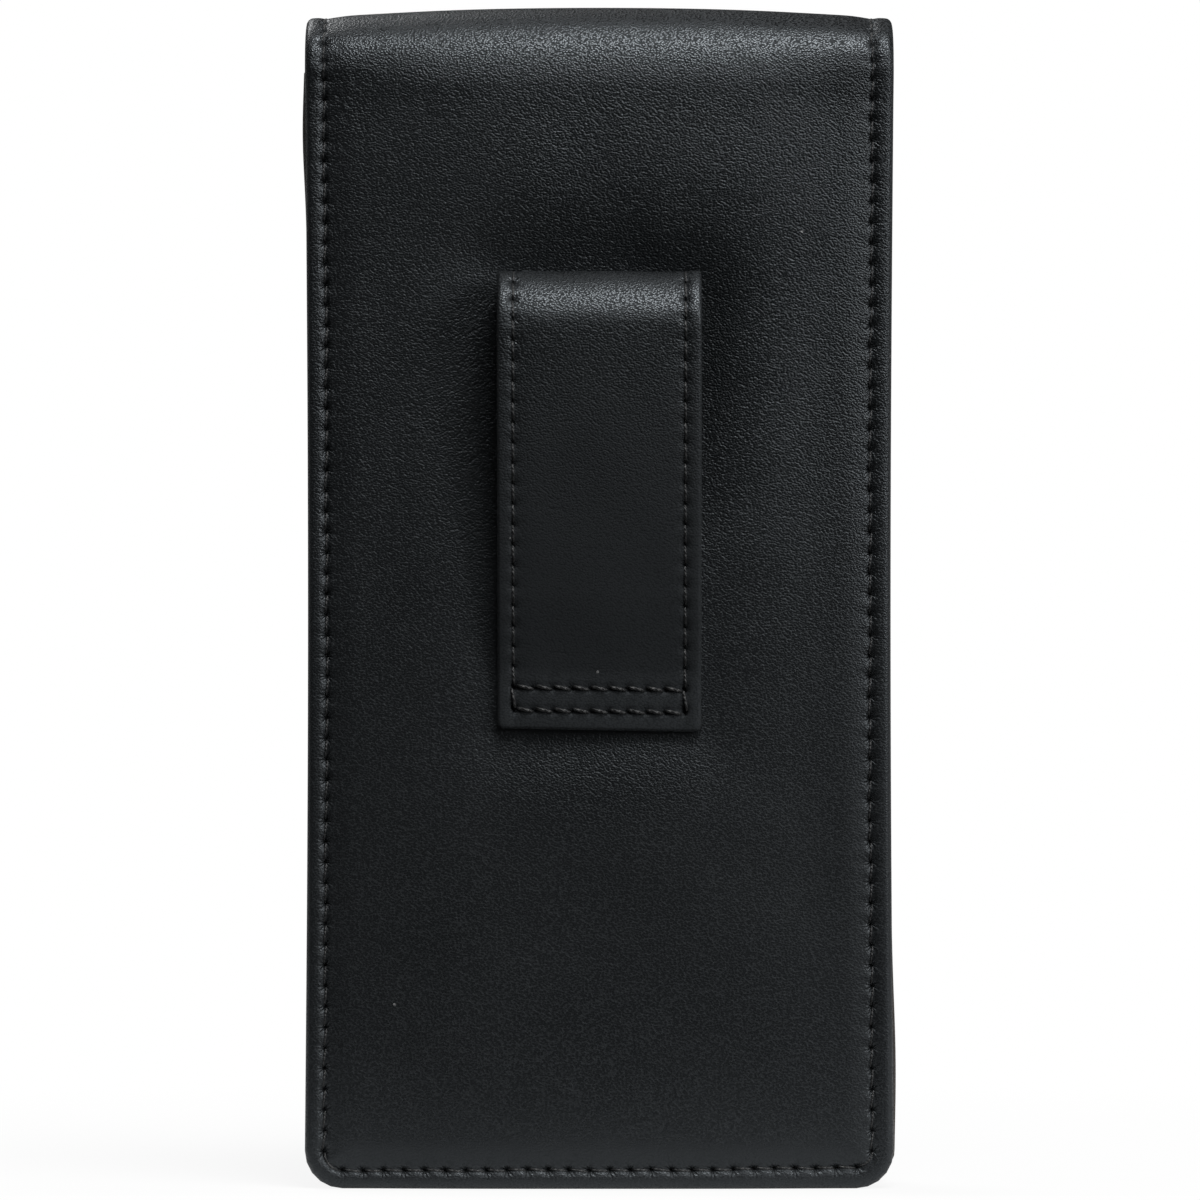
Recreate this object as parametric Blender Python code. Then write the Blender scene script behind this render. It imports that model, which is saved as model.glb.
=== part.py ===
"""Slim leather belt pouch: a gusseted pocket, a fold-over flap with a magnetic snap, and a belt loop.

Metres, +Z up. The pouch stands on its bottom edge, with the belt loop on -Y and the flap on +Y.
"""

import math

import bmesh
import bpy
from mathutils import Matrix, Vector

# Pouch
CASE_WIDTH = 0.0845
CASE_HEIGHT = 0.170
POCKET_DEPTH = 0.0115  # clear space between the two linings
MOUTH_DROP = 0.0097  # from the top fold down to the pocket's mouth
TOP_BEND_RADIUS = 0.007  # outside of the leather at both bends of the top

# Plies of a wall, from the outside in
LEATHER = 0.0013
INTERLINING = 0.0006
LINING = 0.0005
PLY_GAP = 0.0003
LINING_INSET = 0.001  # turned edge of the leather, beside the lining

# Gusset: a recessed wall between two flanges that are sewn under the panels
GUSSET_LEATHER = 0.0012
SEAM_INSET = 0.0027
SEAM_TO_GUSSET = 0.0023
GUSSET_EDGE_INSET = 0.0004
GUSSET_INNER_RADIUS = 0.0016

# Flap
FLAP_DROP = 0.072  # from the top fold down to the flap's lower edge
FLAP_CORNER_RADIUS = 0.013

# Thread, lying half sunk in its groove
THREAD_DIAMETER = 0.0006
MOUTH_SEAM_DROP = 0.0025
MOUTH_SEAM_CLEARANCE = 0.0012

# Belt loop: a strap folded over at its top, with a short inner leaf and a long outer leaf
LOOP_WIDTH = 0.0292
LOOP_LENGTH = 0.0661
LOOP_TOP_DROP = 0.0384  # from the top fold down to the loop's fold
LOOP_LEAF_LENGTH = 0.014
LOOP_LEATHER = 0.001
LOOP_LINING = 0.0005
LOOP_LINING_INSET = 0.0004
LOOP_SEAM_INSET = 0.0023
BELT_SLOT = 0.0054
BOX_SEAM_RISE = 0.00275
BOX_SEAM_HEIGHT = 0.00325
BOX_SEAM_CORNER = 0.0008
SEWN_MARGIN = 0.0025  # flat strap above the box seam
LOOP_EASE = 1.3  # above 1 the outer leaf leaves the panel without a kink
ANCHOR_SEAM_RISE = 0.004

# Magnetic snap
SNAP_RISE = 0.016  # centre above the flap's lower edge
SNAP_RADIUS = 0.007
STUD_PLATE = 0.0005
NUB_RADIUS = 0.0021
CUP_HEIGHT = 0.0014
CUP_BASE = 0.0004
CUP_RIM = 0.0005
MAGNET_PLAY = 0.0004
STEM_RADIUS = 0.0015
WASHER_RADIUS = 0.005

# Facets
CORNER_STEPS = 6
BEND_STEPS = 5
LOOP_FOLD_STEPS = 10
LOOP_RUN_STEPS = 10
ROUND_STEPS = 24
THREAD_SIDES = 6

# Finishes: base colour, roughness, metallic
FINISHES = {
    "black_leather": ((0.012, 0.013, 0.014, 1), 0.5, 0),
    "black_thread": ((0.009, 0.0095, 0.01, 1), 0.6, 0),
    "black_lining": ((0.016, 0.016, 0.017, 1), 0.85, 0),
    "grey_interlining": ((0.08, 0.08, 0.08, 1), 0.9, 0),
    "nickel": ((0.55, 0.54, 0.52, 1), 0.3, 1),
    "dark_magnet": ((0.08, 0.08, 0.085, 1), 0.45, 1),
}

# Sizes that follow from the ones above
WALL = LEATHER + PLY_GAP + INTERLINING + PLY_GAP + LINING
FLANGE_WIDTH = SEAM_INSET + SEAM_TO_GUSSET
CORNER_RADIUS = FLANGE_WIDTH + GUSSET_INNER_RADIUS
HALF_WIDTH = CASE_WIDTH / 2
LINED_HALF_WIDTH = HALF_WIDTH - LINING_INSET
POCKET_HALF_WIDTH = HALF_WIDTH - FLANGE_WIDTH - PLY_GAP
POCKET_FLOOR = FLANGE_WIDTH + PLY_GAP
POCKET_CORNER = GUSSET_INNER_RADIUS - PLY_GAP
MOUTH = CASE_HEIGHT - MOUTH_DROP
THREAD_RADIUS = THREAD_DIAMETER / 2
GROOVE_DEPTH = THREAD_RADIUS + PLY_GAP
GROOVE_HALF_WIDTH = THREAD_RADIUS + PLY_GAP
STRAP = LOOP_LEATHER + PLY_GAP + LOOP_LINING
LOOP_FOLD_RADIUS = BELT_SLOT / 2 + STRAP
LOOP_STAND_OUT = PLY_GAP + 2 * LOOP_FOLD_RADIUS
LOOP_TOP = CASE_HEIGHT - LOOP_TOP_DROP
LOOP_BOTTOM = LOOP_TOP - LOOP_LENGTH
BOX_SEAM_BOTTOM = LOOP_BOTTOM + BOX_SEAM_RISE
BOX_SEAM_TOP = BOX_SEAM_BOTTOM + BOX_SEAM_HEIGHT
SNAP_STACK = 3 * PLY_GAP + STUD_PLATE + CUP_HEIGHT
FLAP_BOTTOM = CASE_HEIGHT - FLAP_DROP
SNAP_HEIGHT = FLAP_BOTTOM + SNAP_RISE

# Faces along Y, centred over the whole depth with the loop
POCKET_STACK = 2 * WALL + POCKET_DEPTH
FOLD_DEPTH = POCKET_STACK + SNAP_STACK + WALL
BACK_Y = (LOOP_STAND_OUT - FOLD_DEPTH) / 2
FRONT_Y = BACK_Y + POCKET_STACK
FLAP_Y = BACK_Y + FOLD_DEPTH
FLAP_INNER_Y = FLAP_Y - WALL

# Each bend is cut along its middle, where the leather creases when the flap opens
MITRE = math.pi / 4
MITRE_GAP = math.asin(PLY_GAP / 2 / (TOP_BEND_RADIUS - WALL))
TO_FRONT = 0.0
TO_TOP = math.pi / 2
TO_BACK = math.pi


def clear_scene():
    for obj in list(bpy.data.objects):
        bpy.data.objects.remove(obj, do_unlink=True)


def add_object(name, mesh):
    obj = bpy.data.objects.new(name, mesh)
    bpy.context.scene.collection.objects.link(obj)
    return obj


def loft(name, rings, closed=False):
    """A solid skinned through rings of points, capped at both ends unless it runs round into itself."""
    bm = bmesh.new()
    loops = [[bm.verts.new(point) for point in ring] for ring in rings]
    pairs = list(zip(loops, loops[1:]))
    if closed:
        pairs.append((loops[-1], loops[0]))
    else:
        bm.faces.new(loops[0])
        bm.faces.new(loops[-1])
    for near, far in pairs:
        for i in range(len(near)):
            j = (i + 1) % len(near)
            bm.faces.new((near[i], near[j], far[j], far[i]))
    bmesh.ops.recalc_face_normals(bm, faces=bm.faces)
    mesh = bpy.data.meshes.new(name)
    bm.to_mesh(mesh)
    bm.free()
    mesh.shade_smooth()
    mesh.set_sharp_from_angle(angle=math.radians(30))
    return add_object(name, mesh)


def finish(obj, finish_name):
    colour, roughness, metallic = FINISHES[finish_name]
    material = bpy.data.materials.new(f"{obj.name} {finish_name}")
    material.use_nodes = True
    shader = material.node_tree.nodes["Principled BSDF"]
    shader.inputs["Base Color"].default_value = colour
    shader.inputs["Roughness"].default_value = roughness
    shader.inputs["Metallic"].default_value = metallic
    obj.data.materials.append(material)


def fold_axis(name, y, z, parent=None):
    """An empty on a fold line. What it carries turns about its X axis."""
    empty = add_object(name, None)
    empty.location = (0, y, z)
    if parent:
        empty.parent = parent
        empty.matrix_parent_inverse = Matrix.Translation(-parent.location)
    return empty


def cut(obj, cutter):
    """Takes the cutter's shape out of the object."""
    cutter.hide_render = True
    cutter.display_type = "WIRE"
    modifier = obj.modifiers.new(cutter.name, "BOOLEAN")
    modifier.operation = "DIFFERENCE"
    modifier.solver = "EXACT"
    modifier.object = cutter


# A station is a place on a wall's outer face: y, z, the angle of its outward normal and the half width.


def corner_stations(y, facing, bottom, radius, half_width):
    """Stations up the two rounded bottom corners of a wall."""
    stations = []
    for step in range(CORNER_STEPS + 1):
        turn = math.pi / 2 * step / CORNER_STEPS
        rise = radius * (1 - math.cos(turn))
        reach = half_width - radius * (1 - math.sin(turn))
        stations.append((y, bottom + rise, facing, reach))
    return stations


def bend_stations(y, z, radius, start, end, steps, half_width):
    """Stations round an arc centred at y, z."""
    stations = []
    for step in range(steps + 1):
        angle = start + (end - start) * step / steps
        place = (y + radius * math.cos(angle), z + radius * math.sin(angle))
        stations.append((*place, angle, half_width))
    return stations


def back_bend(start, end, half_width):
    centre = (BACK_Y + TOP_BEND_RADIUS, CASE_HEIGHT - TOP_BEND_RADIUS)
    return bend_stations(*centre, TOP_BEND_RADIUS, start, end, BEND_STEPS, half_width)


def front_bend(start, end, half_width):
    centre = (FLAP_Y - TOP_BEND_RADIUS, CASE_HEIGHT - TOP_BEND_RADIUS)
    return bend_stations(*centre, TOP_BEND_RADIUS, start, end, BEND_STEPS, half_width)


def pouch_bend(half_width):
    """The half of the back bend that stays with the pouch."""
    return back_bend(TO_BACK, TO_BACK - MITRE + MITRE_GAP, half_width)


def fold_bends(half_width):
    """The top fold, from the back crease over to the front crease."""
    rear = back_bend(TO_BACK - MITRE - MITRE_GAP, TO_TOP, half_width)
    return rear + front_bend(TO_TOP, MITRE + MITRE_GAP, half_width)


def flap_bend(half_width):
    """The half of the front bend that swings with the flap."""
    return front_bend(TO_FRONT, MITRE - MITRE_GAP, half_width)


def loop_stations(half_width):
    """The belt loop's strap, from its inner leaf over the fold and down to its sewn end."""
    fold_y = BACK_Y - PLY_GAP - LOOP_FOLD_RADIUS
    fold_z = LOOP_TOP - LOOP_FOLD_RADIUS
    leaf_y = fold_y + LOOP_FOLD_RADIUS
    stations = [(leaf_y, fold_z - LOOP_LEAF_LENGTH, TO_FRONT, half_width)]
    arc = (TO_FRONT, TO_BACK, LOOP_FOLD_STEPS, half_width)
    stations += bend_stations(fold_y, fold_z, LOOP_FOLD_RADIUS, *arc)
    sewn_y = BACK_Y - PLY_GAP - STRAP
    sewn_z = BOX_SEAM_TOP + SEWN_MARGIN
    reach = fold_y - LOOP_FOLD_RADIUS - sewn_y
    drop = fold_z - sewn_z
    for step in range(1, LOOP_RUN_STEPS + 1):
        left = 1 - step / LOOP_RUN_STEPS
        turn = math.pi / 2 * left
        swell = math.sin(turn) ** LOOP_EASE
        slope = LOOP_EASE * math.sin(turn) ** (LOOP_EASE - 1) * math.cos(turn) * math.pi / 2
        tilt = math.atan(-slope * reach / drop)
        stations.append((sewn_y + reach * swell, sewn_z + drop * left, TO_BACK + tilt, half_width))
    stations.append((sewn_y, BOX_SEAM_TOP + 2 * GROOVE_HALF_WIDTH, TO_BACK, half_width))
    stations.append((sewn_y, LOOP_BOTTOM, TO_BACK, half_width))
    return stations


def sheet(name, stations, depth, thickness):
    """A ply that follows the stations, its outer face sunk by depth."""
    rings = []
    for y, z, angle, half_width in stations:
        normal = Vector((0, math.cos(angle), math.sin(angle)))
        outer = Vector((0, y, z)) - normal * depth
        inner = outer - normal * thickness
        side = Vector((half_width, 0, 0))
        rings.append((outer - side, outer + side, inner + side, inner - side))
    return loft(name, rings)


# A frame is a place along a seam or an edge: its point, the way inward along the face and the face's normal.


def u_frames(half_width, bottom, top, radius, y, facing):
    """Frames down the left edge, round both bottom corners and up the right edge."""
    normal = Vector((0, math.cos(facing), 0))
    frames = [(Vector((-half_width, y, top)), Vector((1, 0, 0)), normal)]
    for side in (-1, 1):
        centre = Vector((side * (half_width - radius), y, bottom + radius))
        start = math.pi if side < 0 else 1.5 * math.pi
        for step in range(CORNER_STEPS + 1):
            angle = start + math.pi / 2 * step / CORNER_STEPS
            outward = Vector((math.cos(angle), 0, math.sin(angle)))
            frames.append((centre + outward * radius, -outward, normal))
    frames.append((Vector((half_width, y, top)), Vector((-1, 0, 0)), normal))
    return frames


def box_frames(half_width, bottom, top, radius, y, facing):
    """Frames round a closed rectangle with rounded corners."""
    normal = Vector((0, math.cos(facing), 0))
    middle = Vector((0, y, (bottom + top) / 2))
    reach = Vector((half_width - radius, 0, (top - bottom) / 2 - radius))
    frames = []
    for step in range(4 * (CORNER_STEPS + 1)):
        corner = step // (CORNER_STEPS + 1)
        angle = math.pi / 2 * (corner + step % (CORNER_STEPS + 1) / CORNER_STEPS)
        outward = Vector((math.cos(angle), 0, math.sin(angle)))
        across = reach.x if corner in (0, 3) else -reach.x
        along = reach.z if corner in (0, 1) else -reach.z
        frames.append((middle + Vector((across, 0, along)) + outward * radius, -outward, normal))
    return frames


def strip_frames(stations, x):
    """Frames along stations, at one distance from the middle."""
    inward = Vector((-math.copysign(1, x), 0, 0))
    frames = []
    for y, z, angle, _ in stations:
        frames.append((Vector((x, y, z)), inward, Vector((0, math.cos(angle), math.sin(angle)))))
    return frames


def row_frames(half_length, y, z, facing):
    """Frames of a straight level row."""
    normal = Vector((0, math.cos(facing), 0))
    return [(Vector((x, y, z)), Vector((0, 0, 1)), normal) for x in (-half_length, half_length)]


def lengthened(frames, extra):
    """The frames with both ends run on straight."""
    ends = []
    for near, far in ((frames[0], frames[1]), (frames[-1], frames[-2])):
        step = (near[0] - far[0]).normalized() * extra
        ends.append((near[0] + step, near[1], near[2]))
    return [ends[0], *frames, ends[1]]


def sweep(name, frames, section, closed=False):
    """A solid along the frames. The section's points are (inward, out of the face)."""
    rings = [[point + side * a + normal * b for a, b in section] for point, side, normal in frames]
    return loft(name, rings, closed)


def thread_section():
    turns = [2 * math.pi * step / THREAD_SIDES for step in range(THREAD_SIDES)]
    return [(THREAD_RADIUS * math.cos(turn), THREAD_RADIUS * math.sin(turn)) for turn in turns]


def groove_section():
    w = GROOVE_HALF_WIDTH
    return [(-w, -GROOVE_DEPTH), (w, -GROOVE_DEPTH), (w, GROOVE_DEPTH), (-w, GROOVE_DEPTH)]


def sew(name, face, frames, closed=False):
    """A row of thread in a groove of the face. An open groove runs past the thread's ends."""
    thread = sweep(name, frames, thread_section(), closed)
    run = frames if closed else lengthened(frames, GROOVE_DEPTH)
    cut(face, sweep(f"{name}_groove", run, groove_section(), closed))
    finish(thread, "black_thread")
    return thread


def turned_rings(profile, z):
    """Circles about a line along Y through z. The profile's points are (radius, y)."""
    turns = [2 * math.pi * step / ROUND_STEPS for step in range(ROUND_STEPS)]
    return [[(r * math.cos(turn), y, z + r * math.sin(turn)) for turn in turns] for r, y in profile]


def disc(name, profile, z):
    """A turned solid with flat ends."""
    return loft(name, turned_rings(profile, z))


def ring(name, inner, outer, low, high, z):
    """A flat turned ring."""
    profile = [(inner, low), (outer, low), (outer, high), (inner, high)]
    return loft(name, turned_rings(profile, z), closed=True)


def bore(face, radius, low, high):
    """A round hole through a ply, on the snap's axis."""
    name = f"{face.name}_hole"
    cut(face, disc(name, [(radius, low - PLY_GAP / 2), (radius, high + PLY_GAP / 2)], SNAP_HEIGHT))


def plies(prefix, stations, lined_stations):
    """The three plies of one wall: leather, interlining and lining."""
    panel = sheet(f"{prefix}_panel", stations, 0, LEATHER)
    middle = sheet(f"{prefix}_interlining", lined_stations, LEATHER + PLY_GAP, INTERLINING)
    lining = sheet(f"{prefix}_lining", lined_stations, WALL - LINING, LINING)
    finish(panel, "black_leather")
    finish(middle, "grey_interlining")
    finish(lining, "black_lining")
    return [panel, middle, lining]


def pocket_lining_stations(y, facing):
    """The bottom of a lining, inside the gusset."""
    return corner_stations(y, facing, POCKET_FLOOR, POCKET_CORNER, POCKET_HALF_WIDTH)


def build_back():
    stations = corner_stations(BACK_Y, TO_BACK, 0, CORNER_RADIUS, HALF_WIDTH) + pouch_bend(HALF_WIDTH)
    lined = pocket_lining_stations(BACK_Y, TO_BACK)
    lined.append((BACK_Y, MOUTH + PLY_GAP, TO_BACK, POCKET_HALF_WIDTH))
    lined.append((BACK_Y, MOUTH + 2 * PLY_GAP, TO_BACK, LINED_HALF_WIDTH))
    made = plies("back", stations, lined + pouch_bend(LINED_HALF_WIDTH))
    seam_x = HALF_WIDTH - SEAM_INSET
    bend = pouch_bend(HALF_WIDTH)[1:]
    flat = u_frames(
        seam_x, SEAM_INSET, CASE_HEIGHT - TOP_BEND_RADIUS, CORNER_RADIUS - SEAM_INSET, BACK_Y, TO_BACK
    )
    frames = strip_frames(bend[::-1], -seam_x) + flat + strip_frames(bend, seam_x)
    made.append(sew("back_seam", made[0], frames))
    return made


def build_front():
    stations = corner_stations(FRONT_Y, TO_FRONT, 0, CORNER_RADIUS, HALF_WIDTH)
    stations.append((FRONT_Y, MOUTH, TO_FRONT, HALF_WIDTH))
    lined = pocket_lining_stations(FRONT_Y, TO_FRONT)
    lined.append((FRONT_Y, MOUTH, TO_FRONT, POCKET_HALF_WIDTH))
    made = plies("front", stations, lined)
    seam_x = HALF_WIDTH - SEAM_INSET
    frames = u_frames(seam_x, SEAM_INSET, MOUTH, CORNER_RADIUS - SEAM_INSET, FRONT_Y, TO_FRONT)
    row = row_frames(seam_x - MOUTH_SEAM_CLEARANCE, FRONT_Y, MOUTH - MOUTH_SEAM_DROP, TO_FRONT)
    made.append(sew("front_seam", made[0], frames))
    made.append(sew("mouth_seam", made[0], row))
    return made


def build_gusset():
    """One strip down the left side, along the bottom and up the right side."""
    rear = BACK_Y + LEATHER + PLY_GAP
    fore = FRONT_Y - LEATHER - PLY_GAP
    t = GUSSET_LEATHER
    edge, wall = GUSSET_EDGE_INSET, FLANGE_WIDTH
    rear_flange = [(wall - t, rear + t), (edge, rear + t), (edge, rear), (wall, rear)]
    fore_flange = [(wall, fore), (edge, fore), (edge, fore - t), (wall - t, fore - t)]
    frames = u_frames(HALF_WIDTH, 0, MOUTH, CORNER_RADIUS, 0, TO_FRONT)
    gusset = sweep("gusset_strip", frames, rear_flange + fore_flange)
    finish(gusset, "black_leather")
    return [gusset]


def build_belt_loop():
    stations = loop_stations(LOOP_WIDTH / 2)
    strap = sheet("belt_loop_strap", stations, 0, LOOP_LEATHER)
    finish(strap, "black_leather")
    lined = loop_stations(LOOP_WIDTH / 2 - LOOP_LINING_INSET)
    lining = sheet("belt_loop_lining", lined, LOOP_LEATHER + PLY_GAP, LOOP_LINING)
    finish(lining, "black_lining")
    made = [strap, lining]
    seam_x = LOOP_WIDTH / 2 - LOOP_SEAM_INSET
    shown = stations[1 + LOOP_FOLD_STEPS // 4 : -1]
    for side, x in (("left", -seam_x), ("right", seam_x)):
        made.append(sew(f"belt_loop_{side}_seam", strap, strip_frames(shown, x)))
    sewn_y = stations[-1][0]
    box = box_frames(seam_x, BOX_SEAM_BOTTOM, BOX_SEAM_TOP, BOX_SEAM_CORNER, sewn_y, TO_BACK)
    made.append(sew("belt_loop_box_seam", strap, box, closed=True))
    anchor_y = stations[0][0] - STRAP
    anchor_z = stations[0][1] + ANCHOR_SEAM_RISE
    row = row_frames(seam_x, anchor_y, anchor_z, TO_BACK)
    made.append(sew("belt_loop_anchor_seam", lining, row))
    return made


def build_snap_stud(front_panel, front_interlining):
    plate = FRONT_Y + PLY_GAP
    face = plate + STUD_PLATE
    tip = face + CUP_HEIGHT - CUP_BASE
    washer_fore = FRONT_Y - LEATHER - PLY_GAP
    washer_rear = washer_fore - INTERLINING
    profile = [(NUB_RADIUS, tip), (NUB_RADIUS, face), (SNAP_RADIUS, face), (SNAP_RADIUS, plate)]
    stud = disc("snap_stud", profile + [(STEM_RADIUS, plate), (STEM_RADIUS, washer_rear)], SNAP_HEIGHT)
    hole = STEM_RADIUS + PLY_GAP
    washer = ring("snap_stud_washer", hole, WASHER_RADIUS, washer_rear, washer_fore, SNAP_HEIGHT)
    bore(front_panel, hole, washer_fore, FRONT_Y)
    bore(front_interlining, WASHER_RADIUS + PLY_GAP, washer_rear, washer_fore)
    finish(stud, "nickel")
    finish(washer, "nickel")
    return [stud, washer]


def build_snap_cup(flap_interlining, flap_lining):
    back = FLAP_INNER_Y - PLY_GAP
    floor = back - CUP_BASE
    rim = back - CUP_HEIGHT
    pan = SNAP_RADIUS - CUP_RIM
    washer_rear = FLAP_INNER_Y + LINING + PLY_GAP
    washer_fore = washer_rear + INTERLINING
    profile = [(pan, floor), (pan, rim), (SNAP_RADIUS, rim), (SNAP_RADIUS, back)]
    cup = disc("snap_cup", profile + [(STEM_RADIUS, back), (STEM_RADIUS, washer_fore)], SNAP_HEIGHT)
    magnet = ring("snap_magnet", NUB_RADIUS + MAGNET_PLAY, pan - PLY_GAP, rim, floor - PLY_GAP, SNAP_HEIGHT)
    hole = STEM_RADIUS + PLY_GAP
    washer = ring("snap_cup_washer", hole, WASHER_RADIUS, washer_rear, washer_fore, SNAP_HEIGHT)
    bore(flap_lining, hole, FLAP_INNER_Y, washer_rear)
    bore(flap_interlining, WASHER_RADIUS + PLY_GAP, washer_rear, washer_fore)
    finish(cup, "nickel")
    finish(magnet, "dark_magnet")
    finish(washer, "nickel")
    return [cup, magnet, washer]


def build_top_fold():
    made = plies("top_fold", fold_bends(HALF_WIDTH), fold_bends(LINED_HALF_WIDTH))
    seam_x = HALF_WIDTH - SEAM_INSET
    for side, x in (("left", -seam_x), ("right", seam_x)):
        frames = strip_frames(fold_bends(HALF_WIDTH), x)
        made.append(sew(f"top_fold_{side}_seam", made[0], frames))
    return made


def build_flap():
    stations = corner_stations(FLAP_Y, TO_FRONT, FLAP_BOTTOM, FLAP_CORNER_RADIUS, HALF_WIDTH)
    lined_bottom = FLAP_BOTTOM + LINING_INSET
    lined_corner = FLAP_CORNER_RADIUS - LINING_INSET
    lined = corner_stations(FLAP_Y, TO_FRONT, lined_bottom, lined_corner, LINED_HALF_WIDTH)
    made = plies("flap", stations + flap_bend(HALF_WIDTH), lined + flap_bend(LINED_HALF_WIDTH))
    seam_x = HALF_WIDTH - SEAM_INSET
    bend = flap_bend(HALF_WIDTH)[1:]
    seam_corner = FLAP_CORNER_RADIUS - SEAM_INSET
    top = CASE_HEIGHT - TOP_BEND_RADIUS
    flat = u_frames(seam_x, FLAP_BOTTOM + SEAM_INSET, top, seam_corner, FLAP_Y, TO_FRONT)
    frames = strip_frames(bend[::-1], -seam_x) + flat + strip_frames(bend, seam_x)
    made.append(sew("flap_seam", made[0], frames))
    return made


def attach(parts, empty):
    for obj in parts:
        obj.parent = empty
        obj.matrix_parent_inverse = empty.matrix_world.inverted()


def main():
    clear_scene()
    pouch = fold_axis("pouch_base", 0, 0)
    back_crease = fold_axis("back_crease", BACK_Y, CASE_HEIGHT, pouch)
    front_crease = fold_axis("front_crease", FLAP_Y, CASE_HEIGHT, back_crease)
    bpy.context.view_layer.update()
    back = build_back()
    front = build_front()
    flap = build_flap()
    attach(back + front + build_gusset() + build_belt_loop(), pouch)
    attach(build_snap_stud(front[0], front[1]), pouch)
    attach(build_top_fold(), back_crease)
    attach(flap + build_snap_cup(flap[1], flap[2]), front_crease)


main()
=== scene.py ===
import math

import bmesh
import bpy
import numpy as np
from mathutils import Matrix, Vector


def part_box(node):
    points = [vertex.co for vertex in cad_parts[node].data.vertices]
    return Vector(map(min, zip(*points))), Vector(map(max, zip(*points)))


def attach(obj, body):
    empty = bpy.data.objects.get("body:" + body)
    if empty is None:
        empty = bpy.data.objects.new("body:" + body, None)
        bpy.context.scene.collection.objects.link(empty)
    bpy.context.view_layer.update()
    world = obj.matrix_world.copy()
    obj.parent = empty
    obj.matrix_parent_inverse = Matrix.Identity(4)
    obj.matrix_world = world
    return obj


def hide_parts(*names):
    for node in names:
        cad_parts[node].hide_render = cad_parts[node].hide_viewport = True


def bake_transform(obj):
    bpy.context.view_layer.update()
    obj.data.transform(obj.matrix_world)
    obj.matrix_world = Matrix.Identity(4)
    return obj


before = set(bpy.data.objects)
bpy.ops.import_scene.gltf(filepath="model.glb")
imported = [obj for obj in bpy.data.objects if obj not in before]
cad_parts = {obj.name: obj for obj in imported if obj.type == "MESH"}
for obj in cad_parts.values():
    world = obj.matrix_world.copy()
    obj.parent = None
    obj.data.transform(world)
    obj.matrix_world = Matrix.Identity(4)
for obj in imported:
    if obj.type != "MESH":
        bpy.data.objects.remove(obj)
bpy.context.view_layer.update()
mm = 0.001

# places read from the solids
backLow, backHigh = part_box("back_panel")
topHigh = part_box("top_fold_panel")[1]
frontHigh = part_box("front_panel")[1]
flapLow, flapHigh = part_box("flap_panel")
loopLow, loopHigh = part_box("belt_loop_strap")
studLow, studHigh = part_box("snap_stud")
cupLow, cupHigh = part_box("snap_cup")
magnetLow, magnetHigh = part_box("snap_magnet")

case = {
    "halfWidth": backHigh.x,
    "top": topHigh.z,
    "backY": backLow.y,
    "frontY": frontHigh.y,
    "flapY": flapHigh.y,
    "mouth": frontHigh.z,
    "flapBottom": flapLow.z,
    "foldRadius": 7.0 * mm,    # outside of both bends of the top
    "foldTall": 12.0 * mm,     # the leather starts to roll over this far below the top
    "foldFlat": 2.0 * mm,
    "foldGrain": 11.0 * mm,    # its pebbles are drawn flat from this far below the top
    "wall": 3.0 * mm,          # leather, interlining and lining
    "corner": 5.4 * mm,
    "flapCorner": 13.0 * mm,
    "seamInset": 2.7 * mm,
    "stitch": 2.95 * mm,
    "perStitch": 5,            # mesh steps along one stitch
    "flareEnds": 0.05 * mm,    # the sides are a little waisted
    "waist": 0.45 * mm,
    "waistLow": 5 * mm,
    "waistTall": 155 * mm,
    "archDrop": 1.1 * mm,      # the top fold sinks towards its two ends
    "archOver": 9 * mm,
    "rimRound": 0.85 * mm,     # largest rounding of a turned edge
}
drop = case["top"] - case["flapBottom"]
rimTurns = (-90, -60, -30, 0, 28, 52, 74, 90)    # degrees round a turned edge, from underneath


def smooth(t):
    t = np.clip(t, 0, 1)
    return t * t * (3 - 2 * t)


def ramp(value, start, over):    # 0 up to the start, then softly up to 1
    return smooth((value - start) / over)


def bell(value, wide, power=2):    # 1 at zero, gone some way past the width
    return np.exp(-((np.abs(value) / wide) ** power))


def hump(share):    # a rounded back between 0 and 1
    return np.sin(math.pi * np.clip(share, 0, 1)) ** 0.8


def ripple(u, v, wave, seed, waves=9):    # soft unevenness, about -1 to 1
    rng = np.random.default_rng(seed)
    total = np.zeros(np.broadcast(u, v).shape)
    for _ in range(waves):
        turn, phase = rng.uniform(0, 2 * math.pi, 2)
        k = 2 * math.pi / wave * rng.uniform(0.6, 1.5)
        total += np.sin(k * (u * math.cos(turn) + v * math.sin(turn)) + phase)
    return total / (waves / 2)


# paths in the YZ plane that the sheets follow

def makePath(points, turn):
    points = np.array(points, float)
    along = np.concatenate([[0], np.cumsum(np.linalg.norm(np.diff(points, axis=0), axis=1))])
    tangent = np.gradient(points, along, axis=0)
    tangent /= np.linalg.norm(tangent, axis=1)[:, None]
    normal = np.stack([-tangent[:, 1], tangent[:, 0]], 1) * turn
    return {"along": along, "point": points, "normal": normal, "length": along[-1]}


def line(a, b, step=0.25 * mm):
    count = max(2, int(math.dist(a, b) / step))
    return [tuple(np.array(a) + (np.array(b) - np.array(a)) * i / count) for i in range(count)]


def arc(centre, radius, start, end, count=60):
    turns = np.linspace(math.radians(start), math.radians(end), count, endpoint=False)
    return [(centre[0] + radius * math.cos(t), centre[1] + radius * math.sin(t)) for t in turns]


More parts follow.
